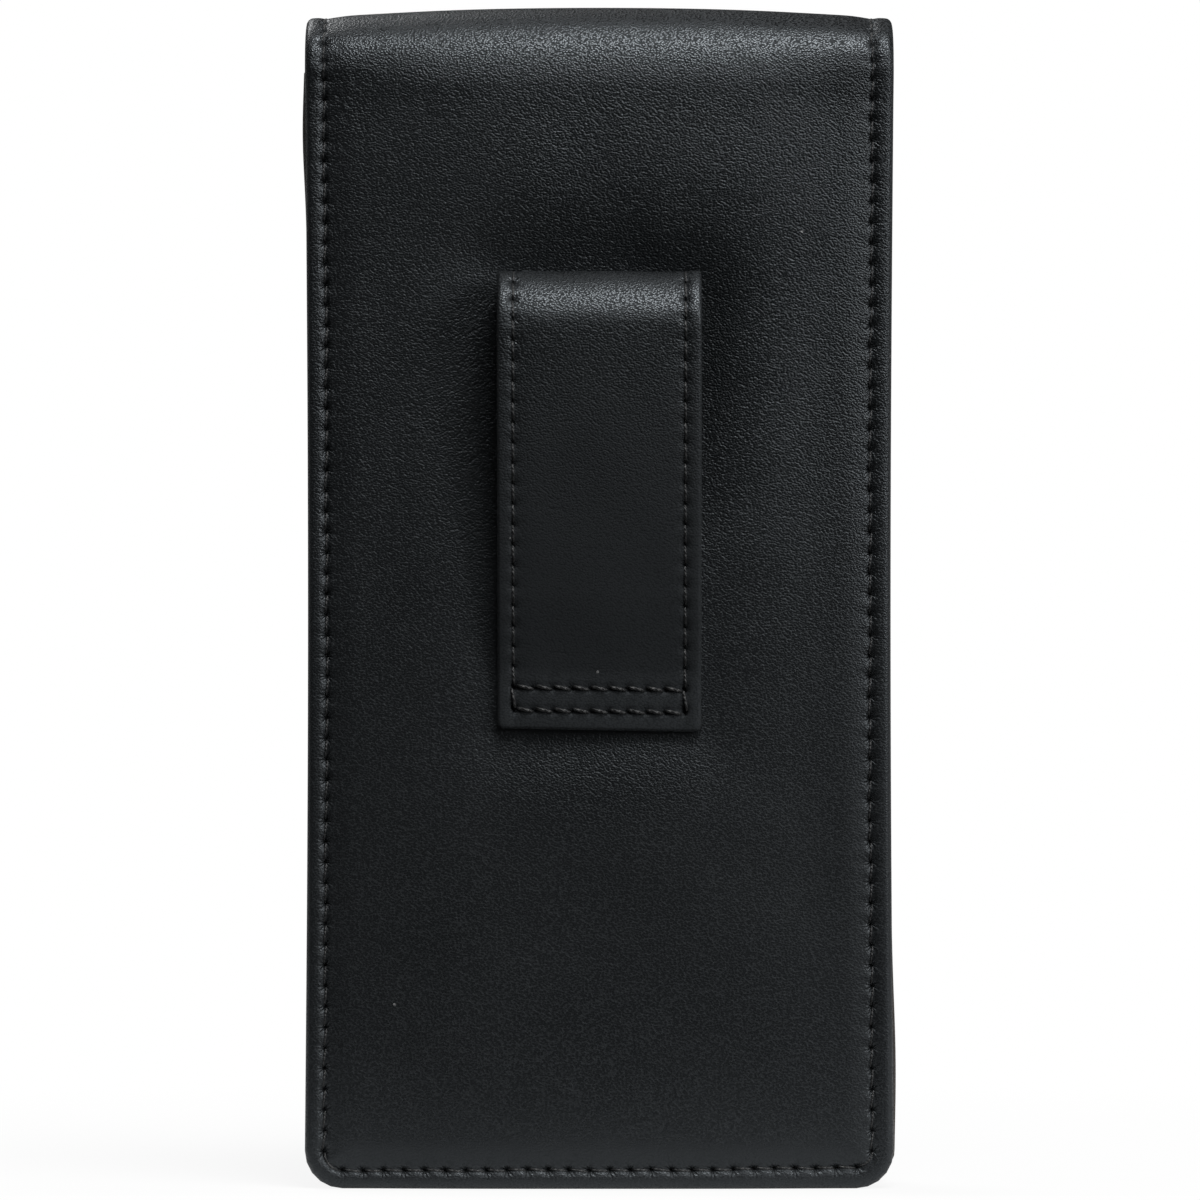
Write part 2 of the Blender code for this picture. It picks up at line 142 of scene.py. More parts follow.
def foldPath(faceY, bottom, outward, steps=90):    # up a wall and over to the middle of the top
    top, tall = case["top"], case["foldTall"]
    middle = (case["backY"] + case["flapY"]) / 2
    deep = abs(middle - faceY) - case["foldFlat"]
    points = line((faceY, bottom), (faceY, top - tall))
    for turn in np.linspace(0, math.pi / 2, steps)[:-1]:
        points.append((faceY - outward * deep * (1 - math.cos(turn)), top - tall * (1 - math.sin(turn))))
    points += line((faceY - outward * deep, top), (middle, top)) + [(middle, top)]
    return makePath(points, -outward)


def flare(z):    # change of the half width
    share = np.clip((z - case["waistLow"]) / case["waistTall"], 0, 1)
    return case["flareEnds"] - case["waist"] * np.sin(math.pi * share)


def sample(path, s):
    point = [np.interp(s, path["along"], path["point"][:, i]) for i in (0, 1)]
    normal = [np.interp(s, path["along"], path["normal"][:, i]) for i in (0, 1)]
    return point, normal


def casePlace(path):
    def place(x, s, h):
        point, normal = sample(path, s)
        wide = x * (1 + flare(point[1]) / case["halfWidth"])
        return np.stack([wide, point[0] + h * normal[0], point[1] + h * normal[1]], -1)
    return place


def addObject(name, data):
    obj = bpy.data.objects.new(name, data)
    bpy.context.scene.collection.objects.link(obj)
    return obj


def meshObject(name, verts, faces, marks=None):
    mesh = bpy.data.meshes.new(name)
    mesh.from_pydata(verts.tolist(), [], faces)
    mesh.shade_smooth()
    for markName, values in (marks or {}).items():
        attribute = mesh.attributes.new(markName, "FLOAT", "POINT")
        attribute.data.foreach_set("value", np.asarray(values, np.float32).ravel())
    return addObject(name, mesh)


def faceOut(verts, faces, probe, outward):    # turns all faces if the probed one looks inward
    a, b, c = (verts[i] for i in faces[probe][:3])
    if np.dot(np.cross(b - a, c - a), outward) < 0:
        return [tuple(reversed(f)) for f in faces]
    return faces


def gridFaces(index):    # quads over a 2D array of vertex numbers
    corners = index[:-1, :-1], index[1:, :-1], index[1:, 1:], index[:-1, 1:]
    return list(zip(*(corner.ravel().tolist() for corner in corners)))


def tubeFaces(index):    # one row of vertex numbers for each ring, with both ends closed
    faces = gridFaces(np.concatenate([index, index[:, :1]], axis=1))
    return faces + [tuple(index[0].tolist()), tuple(index[-1, ::-1].tolist())]


def rimRows(thickness, lip):    # (distance in from the edge, depth) round a turned edge
    r = min(thickness / 2, case["rimRound"])
    rows = [(r + lip, thickness)]
    for turn in np.radians(rimTurns):
        rows.append((r * (1 - math.cos(turn)), thickness / 2 * (1 - math.sin(turn))))
    return rows


# a leather panel: a border that follows the edge down one side, along the bottom and up the other

def cornerSpots(hw, corner, side, quarter):    # (x, s, inward x, inward s) round one lower corner
    start = math.pi if side < 0 else 1.5 * math.pi
    spots = []
    for turn in start + quarter:
        c, k = math.cos(turn), math.sin(turn)
        spots.append((side * (hw - corner) + corner * c, corner * (1 + k), -c, -k))
    return spots


def panelSpots(hw, corner, leg, nLeg, nCorner, nBottom):
    quarter = np.linspace(0, math.pi / 2, nCorner + 1)[1:]
    spots = [(-hw, s, 1, 0) for s in np.linspace(leg, corner, nLeg + 1)]
    spots += cornerSpots(hw, corner, -1, quarter)
    spots += [(x, 0, 0, 1) for x in np.linspace(-(hw - corner), hw - corner, nBottom + 1)[1:]]
    spots += cornerSpots(hw, corner, 1, quarter)
    spots += [(hw, s, -1, 0) for s in np.linspace(corner, leg, nLeg + 1)[1:]]
    return np.array(spots, float).T


def borderRows(spec, inner):
    inset = case["seamInset"]
    rows = rimRows(spec["edgeThickness"], spec["lip"])
    first = rows[-1][0]
    for d in [*np.linspace(first, inset, 6)[1:], *np.linspace(inset, inner, 8)[1:]]:
        rows.append((d, 0.0))
    return np.array(rows).T[:, :, None], first


def seamDrift(q, x, spec):    # how far in the seam strays, stitch by stitch
    stray = np.sin(q * 0.37 + 1) + np.sin(q * 1.13) + 0.5 * np.sin(q * 2.9)
    return spec["wander"] * stray / 2 + spec["rightInset"] * smooth(x / spec["halfWidth"] * 1.3)


def uPanel(name, path, place, relief, spec):
    hw, corner, inset = spec["halfWidth"], spec["corner"], case["seamInset"]
    per, leg = case["perStitch"], path["length"]
    runs = (leg - corner, (corner - inset) * math.pi / 2, 2 * (hw - corner))
    nLeg, nCorner, nBottom = [per * max(1, round(run / case["stitch"])) for run in runs]
    px, ps, nx, ns = panelSpots(hw, corner, leg, nLeg, nCorner, nBottom)
    q = np.arange(len(px)) / per

    inner = min(corner - spec["hubRadius"], spec["borderWide"])
    (d, depth), first = borderRows(spec, inner)
    drift = seamDrift(q, px, spec)
    inward = d + np.interp(d, [first, inset, inner], [0, 1, 0]) * drift
    bandX, bandS = px + nx * inward, ps + ns * inward
    gridAcross = np.linspace(-(hw - corner), hw - corner, nBottom + 1)
    gridX, gridS = np.meshgrid(gridAcross, np.linspace(corner, leg, nLeg + 1))

    def joined(band, grid):
        return np.concatenate([np.broadcast_to(band, bandX.shape).ravel(), grid.ravel()])

    flatX, flatS = joined(bandX, gridX), joined(bandS, gridS)
    flatD = joined(d, np.minimum(hw - np.abs(gridX), gridS))
    flatQ = joined(q, np.zeros(gridX.shape))
    flatDepth = joined(depth, np.zeros(gridX.shape))
    flatDepth = flatDepth * (1 - spec["thinBy"] * ramp(flatS, spec.get("thinFrom", leg), spec["thinOver"]))
    verts = place(flatX, flatS, relief(flatX, flatS, flatD, flatQ) - flatDepth)

    bandIndex = np.arange(bandX.size).reshape(bandX.shape)
    gridIndex = bandX.size + np.arange(gridX.size).reshape(gridX.shape)
    faces = gridFaces(bandIndex)
    last = bandIndex[-1]
    bottomStart = nLeg + nCorner
    bottomEnd = bottomStart + nBottom
    faces += gridFaces(np.stack([last[: nLeg + 1], gridIndex[::-1, 0]]))
    faces += gridFaces(np.stack([last[bottomStart : bottomEnd + 1], gridIndex[0]]))
    faces += gridFaces(np.stack([last[bottomEnd + nCorner :], gridIndex[:, -1]]))
    for start, hub in ((nLeg, gridIndex[0, 0]), (bottomEnd, gridIndex[0, -1])):
        faces += [(int(last[i]), int(hub), int(last[i + 1])) for i in range(start, start + nCorner)]
    faces += gridFaces(gridIndex)
    tip = flatX[-1:], flatS[-1:]
    up = place(*tip, np.array([1 * mm]))[0] - place(*tip, np.zeros(1))[0]
    faces = faceOut(verts, faces, len(faces) - 1, up)
    marks = {
        "edge": bell(flatD, spec["edgeWide"]),
        "along": flatQ,
        "across": (flatD - inset) / mm,
        "grain": spec["grain"](verts),
    }
    obj = meshObject(name, verts, faces, marks)
    seam = {"x": px + nx * (inset + drift), "s": ps + ns * (inset + drift), "inX": nx, "inS": ns}
    print(f"{name}: {len(verts)} points")
    return obj, seam


# forms that the panels share

seamForm = {
    "pullWide": 2.4 * mm,
    "holeWide": 0.45 * mm,
    "holeLong": 0.18,          # in stitches
    "fanWide": 1.3 * mm,       # puckers run this far from the holes
    "fanPower": 1.5,
    "edgeStiff": 0.4,          # and are weaker on the turned edge
}


def seamRelief(d, q, spec):    # the pulled-in seam, its stitch holes and the puffed margin outside it
    form, inset = seamForm, case["seamInset"]
    near = np.abs(q - np.round(q))
    drawn = spec["pull"] * bell(np.maximum(d - inset, 0), form["pullWide"])
    margin = spec["hump"] * hump(d / inset)
    pits = bell(d - inset, form["holeWide"]) * (spec["groove"] + spec["hole"] * bell(near, form["holeLong"]))
    uneven = 1 + 0.5 * np.sin(q * 2.1) + 0.3 * np.sin(q * 5.3 + 1)
    fan = -np.cos(2 * math.pi * q) * bell(d - inset, form["fanWide"], form["fanPower"])
    fan = fan * np.where(d < inset, form["edgeStiff"], 1.0)
    return margin - drawn - pits + spec["pucker"] * uneven * fan


def pillow(x, s, spec):    # the panel swells between its seams
    inset, reach = case["seamInset"], spec["swellReach"]
    side = 1 - bell(np.maximum(case["halfWidth"] - np.abs(x) - inset, 0), reach)
    low = 1 - spec["lowSwell"] * bell(np.maximum(s - inset, 0), reach)
    return (spec["pillow"] + spec["puff"]) * side * low - spec["pillow"]


def wallRelief(x, s, d, q, spec):    # seam and swelling, both calmer over the fold
    level = 1 - spec["calm"] * ramp(s, spec["calmFrom"], spec["calmOver"])
    kept = spec["calmSeam"]
    return seamRelief(d, q, spec) * (kept + (1 - kept) * level) + level * pillow(x, s, spec)


def insideSeam(d, spec):
    return ramp(d, spec["insideFrom"], spec["insideOver"])


def wallWaves(x, s, d, spec):    # soft waves inside the seam, up to the fold or the mouth
    still = 1 - ramp(s, spec["stillFrom"], spec["stillOver"])
    total = sum(high * ripple(x, s, wave, seed) for high, wave, seed in spec["waves"])
    return total * still * insideSeam(d, spec)


def topArch(x, s, start):    # sinks the fold towards its ends
    return -case["archDrop"] * (x / case["halfWidth"]) ** 2 * ramp(s, start, case["archOver"])


# stitches: one short rounded thread from hole to hole

stitchForm = {
    "rings": 7,
    "sides": 6,
    "ends": 0.07,              # share of a stitch between a hole and the end of the thread
    "bow": 0.7,                # how steeply the thread comes up
    "thinEnd": 0.55,           # its thickness at the holes
    "taper": 0.6,
    "taperEnds": 0.06,
}
stitchSteps = np.linspace(stitchForm["ends"], 1 - stitchForm["ends"], stitchForm["rings"])
stitchBow = np.sin(math.pi * stitchSteps) ** stitchForm["bow"]
stitchLean = np.linspace(1, -1, stitchForm["rings"])


def stitchMesh(name, x, s, h, place, radius):
    form = stitchForm
    count, rings = x.shape
    centre = place(x.ravel(), s.ravel(), h.ravel()).reshape(count, rings, 3)
    lifted = place(x.ravel(), s.ravel(), h.ravel() + 0.1 * mm).reshape(count, rings, 3)
    tangent = np.gradient(centre, axis=1)
    tangent /= np.linalg.norm(tangent, axis=2)[..., None]
    side = np.cross(tangent, lifted - centre)
    side /= np.linalg.norm(side, axis=2)[..., None]
    normal = np.cross(side, tangent)
    taper = np.sin(math.pi * np.linspace(form["taperEnds"], 1 - form["taperEnds"], rings)) ** form["taper"]
    swell = radius * (form["thinEnd"] + (1 - form["thinEnd"]) * taper)
    turns = 2 * math.pi * np.arange(form["sides"]) / form["sides"]
    ring = centre[:, :, None] + swell[None, :, None, None] * (
        np.cos(turns)[:, None] * side[:, :, None] + np.sin(turns)[:, None] * normal[:, :, None]
    )
    verts = ring.reshape(-1, 3)
    faces = []
    for one in np.arange(len(verts)).reshape(count, rings, form["sides"]):
        faces += tubeFaces(one)
    faces = faceOut(verts, faces, 0, verts[faces[0][0]] - centre[0, 0])
    print(f"{name}: {count} stitches")
    return meshObject(name, verts, faces)


def seamStitches(name, seam, place, relief, spec):
    per = case["perStitch"]
    starts = np.arange(0, len(seam["x"]) - 1, per)
    places = starts[:, None] + stitchSteps * per

    def along(key):
        return np.interp(places, np.arange(len(seam[key])), seam[key])

    lean = spec["slant"] * stitchLean
    x, s = along("x") + along("inX") * lean, along("s") + along("inS") * lean
    betweenHoles = np.full(x.shape, 0.5)
    base = relief(x, s, np.full(x.shape, case["seamInset"]), betweenHoles)
    h = base + spec["lift"] - spec["dip"] * (1 - stitchBow)
    return stitchMesh(name, x, s, h, place, spec["radius"])


# closed slabs for the linings: rings across the width, one after another along the path

def slab(name, place, halfWidth, s, high, low, columns=14, sharpAngle=40):
    across = np.linspace(-1, 1, columns)
    ringX = np.concatenate([across, across[::-1]])
    ringH = np.repeat([high, low], columns)
    rings = [place(ringX * half, np.full(len(ringX), at), ringH) for half, at in zip(halfWidth, s)]
    verts = np.concatenate(rings)
    faces = tubeFaces(np.arange(len(verts)).reshape(len(s), len(ringX)))
    middle = len(s) // 2
    at = np.full(1, s[middle])
    up = place(np.zeros(1), at, np.full(1, high))[0] - place(np.zeros(1), at, np.full(1, low))[0]
    faces = faceOut(verts, faces, len(ringX) * middle, up)
    obj = meshObject(name, verts, faces)
    obj.data.set_sharp_from_angle(angle=math.radians(sharpAngle))
    return obj


# shader nodes

def feed(tree, value, socket):    # a plain number is set, anything else is linked
    if isinstance(value, (int, float)):
        socket.default_value = value
    else:
        tree.links.new(value, socket)


def mathNode(tree, operation, a, b=0.0):
    node = tree.nodes.new("ShaderNodeMath")
    node.operation = operation
    feed(tree, a, node.inputs[0])
    feed(tree, b, node.inputs[1])
    return node.outputs[0]


def addTimes(tree, base, value, factor):
    return mathNode(tree, "ADD", base, mathNode(tree, "MULTIPLY", value, factor))


def lessTimes(tree, base, value, factor):
    return mathNode(tree, "SUBTRACT", base, mathNode(tree, "MULTIPLY", value, factor))


def remap(tree, value, fromLow, fromHigh, toLow, toHigh):
    node = tree.nodes.new("ShaderNodeMapRange")
    tree.links.new(value, node.inputs["Value"])
    limits = {"From Min": fromLow, "From Max": fromHigh, "To Min": toLow, "To Max": toHigh}
    for label, number in limits.items():
        node.inputs[label].default_value = number
    return node.outputs["Result"]


def noiseNode(tree, vector, scale, detail, roughness=0.5):
    node = tree.nodes.new("ShaderNodeTexNoise")
    tree.links.new(vector, node.inputs["Vector"])
    node.inputs["Scale"].default_value = scale
    node.inputs["Detail"].default_value = detail
    node.inputs["Roughness"].default_value = roughness
    return node.outputs


def markNode(tree, name):
    node = tree.nodes.new("ShaderNodeAttribute")
    node.attribute_name = name
    return node.outputs["Fac"]


def mixColour(tree, factor, a, b):
    node = tree.nodes.new("ShaderNodeMix")
    node.data_type = "RGBA"
    tree.links.new(factor, node.inputs["Factor"])
    for label, value in (("A", a), ("B", b)):
        socket = [i for i in node.inputs if i.name == label and i.type == "RGBA"][0]
        if isinstance(value, tuple):
            socket.default_value = (*value, 1)
        else:
            tree.links.new(value, socket)
    return [o for o in node.outputs if o.type == "RGBA"][0]


def bumpNode(tree, height, distance):
    node = tree.nodes.new("ShaderNodeBump")
    node.inputs["Distance"].default_value = distance
    node.inputs["Strength"].default_value = 1.0
    tree.links.new(height, node.inputs["Height"])
    return node.outputs["Normal"]


# shader groups

def newGroup(name, inputs, outputs):    # an input without a value is a vector
    group = bpy.data.node_groups.new(name, "ShaderNodeTree")
    for label, value in inputs.items():
        kind = "NodeSocketVector" if value is None else "NodeSocketFloat"
        socket = group.interface.new_socket(name=label, in_out="INPUT", socket_type=kind)
        if value is not None:
            socket.default_value = value
    for label in outputs:
        group.interface.new_socket(name=label, in_out="OUTPUT", socket_type="NodeSocketFloat")
    return group, group.nodes.new("NodeGroupInput").outputs, group.nodes.new("NodeGroupOutput").inputs


def placeGroup(tree, group, **values):
    node = tree.nodes.new("ShaderNodeGroup")
    node.node_tree = group
    for label, value in values.items():
        feed(tree, value, node.inputs[label])
    return node.outputs


grain = {
    "turn": 48,                # degrees; the pebbles are longer along one diagonal
    "stretch": 0.8,
    "bendScale": 700,          # their rows are bent a little
    "fineScale": 7000,
    "fineShare": 0.2,
    "crease": (0.45, 0.65),    # from a pebble's middle, where its crease starts and is full
    "driftScale": 55,          # slow changes of tone
}


def makeGrainGroup():    # fine pebbles with creases between them
    inputs = {"Vector": None, "Scale": 3700.0, "Warp": 0.00018}
    tree, given, out = newGroup("fineGrain", inputs, ("Height", "Crease", "Drift"))
    turned = tree.nodes.new("ShaderNodeMapping")
    turned.inputs["Rotation"].default_value = (0, math.radians(grain["turn"]), 0)
    turned.inputs["Scale"].default_value = (grain["stretch"], 1, 1)
    tree.links.new(given["Vector"], turned.inputs["Vector"])
    bend = noiseNode(tree, given["Vector"], grain["bendScale"], 2)
    shift = tree.nodes.new("ShaderNodeVectorMath")
    shift.operation = "SCALE"
    tree.links.new(bend["Color"], shift.inputs[0])
    tree.links.new(given["Warp"], shift.inputs["Scale"])
    moved = tree.nodes.new("ShaderNodeVectorMath")
    tree.links.new(turned.outputs["Vector"], moved.inputs[0])
    tree.links.new(shift.outputs["Vector"], moved.inputs[1])
    pebble = tree.nodes.new("ShaderNodeTexVoronoi")
    tree.links.new(moved.outputs["Vector"], pebble.inputs["Vector"])
    tree.links.new(given["Scale"], pebble.inputs["Scale"])
    away = pebble.outputs["Distance"]
    dome = lessTimes(tree, 1.0, mathNode(tree, "MULTIPLY", away, away), 2.0)
    fine = noiseNode(tree, moved.outputs["Vector"], grain["fineScale"], 3, 0.6)
    drift = noiseNode(tree, given["Vector"], grain["driftScale"], 4, 0.55)
    tree.links.new(addTimes(tree, dome, fine["Fac"], grain["fineShare"]), out["Height"])
    tree.links.new(remap(tree, away, *grain["crease"], 0.0, 1.0), out["Crease"])
    tree.links.new(drift["Fac"], out["Drift"])
    return tree


def makeDustGroup():    # a few pale specks of lint
    inputs = {"Vector": None, "Scale": 240.0, "Size": 0.05, "Fewness": 0.93}
    tree, given, out = newGroup("lintSpecks", inputs, ("Speck",))
    spots = tree.nodes.new("ShaderNodeTexVoronoi")
    tree.links.new(given["Vector"], spots.inputs["Vector"])
    tree.links.new(given["Scale"], spots.inputs["Scale"])
    near = mathNode(tree, "LESS_THAN", spots.outputs["Distance"], given["Size"])
    split = tree.nodes.new("ShaderNodeSeparateColor")
    tree.links.new(spots.outputs["Color"], split.inputs["Color"])
    chosen = mathNode(tree, "GREATER_THAN", split.outputs["Red"], given["Fewness"])
    tree.links.new(mathNode(tree, "MULTIPLY", near, chosen), out["Speck"])
    return tree


seamMarks = {                  # lengths in millimetres, as the marks on the meshes
    "folds": 9.0,              # creases round a hole
    "strayScale": 600,
    "stray": 9.0,
    "creaseFade": (0.35, 1.4),
    # reach of the painted shade in each stitch hole, and of the fainter painted shade along the seam's
    # groove with its strength
    "holeFade": (0.22, 0.48),
    "rowFade": (0.08, 0.35),
    "rowShade": 0.3,
}


def makeSeamGroup():    # stitch holes with fine creases running out from them, and where shade is painted: in the holes and along the seam's groove
    marks = seamMarks
    inputs = {"Along": 0.0, "Across": 10.0, "Pitch": case["stitch"] / mm, "Vector": None}
    tree, given, out = newGroup("seamPuckers", inputs, ("Height", "Hole"))
    part = mathNode(tree, "FRACT", mathNode(tree, "ADD", given["Along"], 0.5))
    along = mathNode(tree, "MULTIPLY", mathNode(tree, "SUBTRACT", part, 0.5), given["Pitch"])
    across = given["Across"]
    square = addTimes(tree, mathNode(tree, "MULTIPLY", along, along), across, across)
    away = mathNode(tree, "SQRT", square)
    stray = noiseNode(tree, given["Vector"], marks["strayScale"], 2)
    turn = mathNode(tree, "MULTIPLY", mathNode(tree, "ARCTAN2", across, along), marks["folds"])
    turn = addTimes(tree, turn, stray["Fac"], marks["stray"])
    fade = remap(tree, away, *marks["creaseFade"], 1.0, 0.0)
    # painted shade: full in each stitch hole, fainter along the seam's groove
    hole = remap(tree, away, *marks["holeFade"], 1.0, 0.0)
    row = remap(tree, mathNode(tree, "ABSOLUTE", across), *marks["rowFade"], marks["rowShade"], 0.0)
    tree.links.new(mathNode(tree, "MULTIPLY", mathNode(tree, "SINE", turn), fade), out["Height"])
    tree.links.new(mathNode(tree, "MAXIMUM", hole, row), out["Hole"])
    return tree


grainGroup = makeGrainGroup()
seamGroup = makeSeamGroup()
dustGroup = makeDustGroup()

# materials

def startMaterial(name, plain):    # plain holds the values that are the same all over
    material = bpy.data.materials.new(name)
    material.use_nodes = True
    tree = material.node_tree
    shader = tree.nodes["Principled BSDF"].inputs
    for label, value in plain.items():
        shader[label].default_value = value
    return material, tree, shader, tree.nodes.new("ShaderNodeTexCoord").outputs["Object"]


leather = {
    "dark": (0.0036, 0.0041, 0.0046),
    "light": (0.0060, 0.0066, 0.0072),
    "tone": (0.3, 0.7),        # range of the slow drift between the two
    "edge": (0.010, 0.011, 0.012),
    "edgeShare": 0.5,
    "lint": (0.16, 0.16, 0.16),
    # painted shade in the stitch holes and along the seam's groove
    "hole": (0.0012, 0.0012, 0.0013),
    "rawEdge": (0.034, 0.021, 0.012),
    "sheen": (0.86, 0.94, 1.0),
    "grainScale": 3700.0,
    "grainDepth": 0.056 * mm,
    "glossy": 0.29,            # roughness at full grain
    "matte": 0.45,             # and where the grain is pressed flat
    "flatGrain": 0.2,
    "creaseMatte": 0.22,       # how much duller the creases are than the pebbles
    "rubbedMatte": 0.3,
    "holeMatte": 0.5,
    "pucker": 0.9,             # height of the creases round the holes, next to the grain
    "rubbedPucker": 0.15,
    "foldMark": 0.5,           # a grain mark above 1 is leather drawn over a fold
    "foldOver": 6 * mm,
    "foldGloss": 0.10,         # there the pebbles shine more
    "foldCrease": 0.45,        # the creases between them open
    "foldFlat": 0.75,          # and their tops are drawn flat
}


def foldGrain(z, start):
    return leather["foldMark"] * ramp(z, start, leather["foldOver"])


def leatherMaterial():
    plain = {"Specular Tint": (*leather["sheen"], 1)}
    material, tree, shader, where = startMaterial("blackGrainLeather", plain)
    pebbles = placeGroup(tree, grainGroup, Vector=where, Scale=leather["grainScale"])
    dust = placeGroup(tree, dustGroup, Vector=where)
    along, across = markNode(tree, "along"), markNode(tree, "across")
    seam = placeGroup(tree, seamGroup, Vector=where, Along=along, Across=across)
    rubbed = markNode(tree, "rubbed")
    strength = markNode(tree, "grain")
    stretched = mathNode(tree, "MAXIMUM", mathNode(tree, "SUBTRACT", strength, 1.0), 0.0)

    colour = remap(tree, pebbles["Drift"], *leather["tone"], 0.0, 1.0)
    colour = mixColour(tree, colour, leather["dark"], leather["light"])
    # the colour is paler towards the rim of a turned edge
    paleRim = mathNode(tree, "MULTIPLY", markNode(tree, "edge"), leather["edgeShare"])
    colour = mixColour(tree, paleRim, colour, leather["edge"])
    colour = mixColour(tree, dust["Speck"], colour, leather["lint"])
    colour = mixColour(tree, markNode(tree, "raw"), colour, leather["rawEdge"])
    # painted shade in the stitch holes and along the seam's groove
    colour = mixColour(tree, seam["Hole"], colour, leather["hole"])
    tree.links.new(colour, shader["Base Color"])

    rough = remap(tree, strength, leather["flatGrain"], 1.0, leather["matte"], leather["glossy"])
    rough = addTimes(tree, rough, rubbed, leather["rubbedMatte"])
    rough = lessTimes(tree, rough, stretched, leather["foldGloss"])
    dull = addTimes(tree, leather["creaseMatte"], stretched, leather["foldCrease"])
    rough = addTimes(tree, rough, pebbles["Crease"], dull)
    rough = addTimes(tree, rough, seam["Hole"], leather["holeMatte"])
    tree.links.new(rough, shader["Roughness"])

    tall = lessTimes(tree, mathNode(tree, "MINIMUM", strength, 1.0), stretched, leather["foldFlat"])
    height = mathNode(tree, "MULTIPLY", pebbles["Height"], tall)
    puckers = remap(tree, rubbed, 0.0, 1.0, leather["pucker"], leather["rubbedPucker"])
    height = addTimes(tree, height, seam["Height"], puckers)
    tree.links.new(bumpNode(tree, height, leather["grainDepth"]), shader["Normal"])
    return material


thread = {
    # lighter on the twist's ridges and darker in its grooves: painted shade
    "dark": (0.0035, 0.0038, 0.0042),
    "light": (0.016, 0.017, 0.018),
    "twistScale": 900,
    "twistWobble": 1.5,
    "twistDepth": 0.05 * mm,
    "rough": 0.5,
    "specular": 0.5,
}


def threadMaterial():
    plain = {"Roughness": thread["rough"], "Specular IOR Level": thread["specular"]}
    material, tree, shader, where = startMaterial("blackThread", plain)
    twist = tree.nodes.new("ShaderNodeTexWave")
    twist.bands_direction = "DIAGONAL"
    twist.inputs["Scale"].default_value = thread["twistScale"]
    twist.inputs["Distortion"].default_value = thread["twistWobble"]
    tree.links.new(where, twist.inputs["Vector"])
    strands = twist.outputs["Fac"]
    # the twist's ridges painted lighter and its grooves darker: painted shade, besides the bump
    tree.links.new(mixColour(tree, strands, thread["dark"], thread["light"]), shader["Base Color"])
    tree.links.new(bumpNode(tree, strands, thread["twistDepth"]), shader["Normal"])
    return material


lining = {
    "dark": (0.007, 0.007, 0.008),
    "light": (0.018, 0.018, 0.020),
    "napScale": 3200,
    "napDepth": 0.12 * mm,
    "brushScale": 90,
    "brushed": (0.7, 1.3),     # the nap is darker and lighter in soft patches
    "rough": 0.9,
    "sheen": 0.25,
    "sheenRough": 0.4,
}


def liningMaterial():
    plain = {"Roughness": lining["rough"], "Sheen Weight": lining["sheen"]}
    plain["Sheen Roughness"] = lining["sheenRough"]
    material, tree, shader, where = startMaterial("nappedLining", plain)
    nap = noiseNode(tree, where, lining["napScale"], 4, 0.7)["Fac"]
    brushed = noiseNode(tree, where, lining["brushScale"], 3)["Fac"]
    mixed = mathNode(tree, "MULTIPLY", nap, remap(tree, brushed, 0.3, 0.7, *lining["brushed"]))
    tree.links.new(mixColour(tree, mixed, lining["dark"], lining["light"]), shader["Base Color"])
    tree.links.new(bumpNode(tree, nap, lining["napDepth"]), shader["Normal"])
    return material


metal = {"scratchScale": 1500, "smoother": 0.06, "rougher": 0.1, "darker": 0.8}


def metalMaterial(name, colour, rough):
    material, tree, shader, where = startMaterial(name, {"Metallic": 1})
    scratch = noiseNode(tree, where, metal["scratchScale"], 5, 0.65)["Fac"]
    spread = remap(tree, scratch, 0.3, 0.7, rough - metal["smoother"], rough + metal["rougher"])
    tree.links.new(spread, shader["Roughness"])
    darker = tuple(c * metal["darker"] for c in colour)
    tree.links.new(mixColour(tree, scratch, darker, colour), shader["Base Color"])
    return material


looks = {
    "leather": leatherMaterial(),
    "thread": threadMaterial(),
    "lining": liningMaterial(),
    "nickel": metalMaterial("nickelPlate", (0.62, 0.60, 0.57), 0.24),
    "magnet": metalMaterial("darkMagnet", (0.10, 0.10, 0.105), 0.45),
}
print("materials made")


def dress(obj, look, body, *nodes, bend=None):
    obj.data.materials.clear()
    obj.data.materials.append(looks[look])
    if nodes:
        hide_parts(*nodes)
    if bend:
        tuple(bend["start"])
        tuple(bend["end"])
        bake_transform(obj)
    else:
        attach(obj, body)
    return obj


def creaseBend(faceY, inward):
    top, radius = case["top"], case["foldRadius"]
    return {"to": "top_fold", "start": (0, faceY, top - radius), "end": (0, faceY + inward * radius, top)}


backBend = creaseBend(case["backY"], 1)
flapBend = creaseBend(case["flapY"], -1)

# back leather, over the top to the middle of the fold

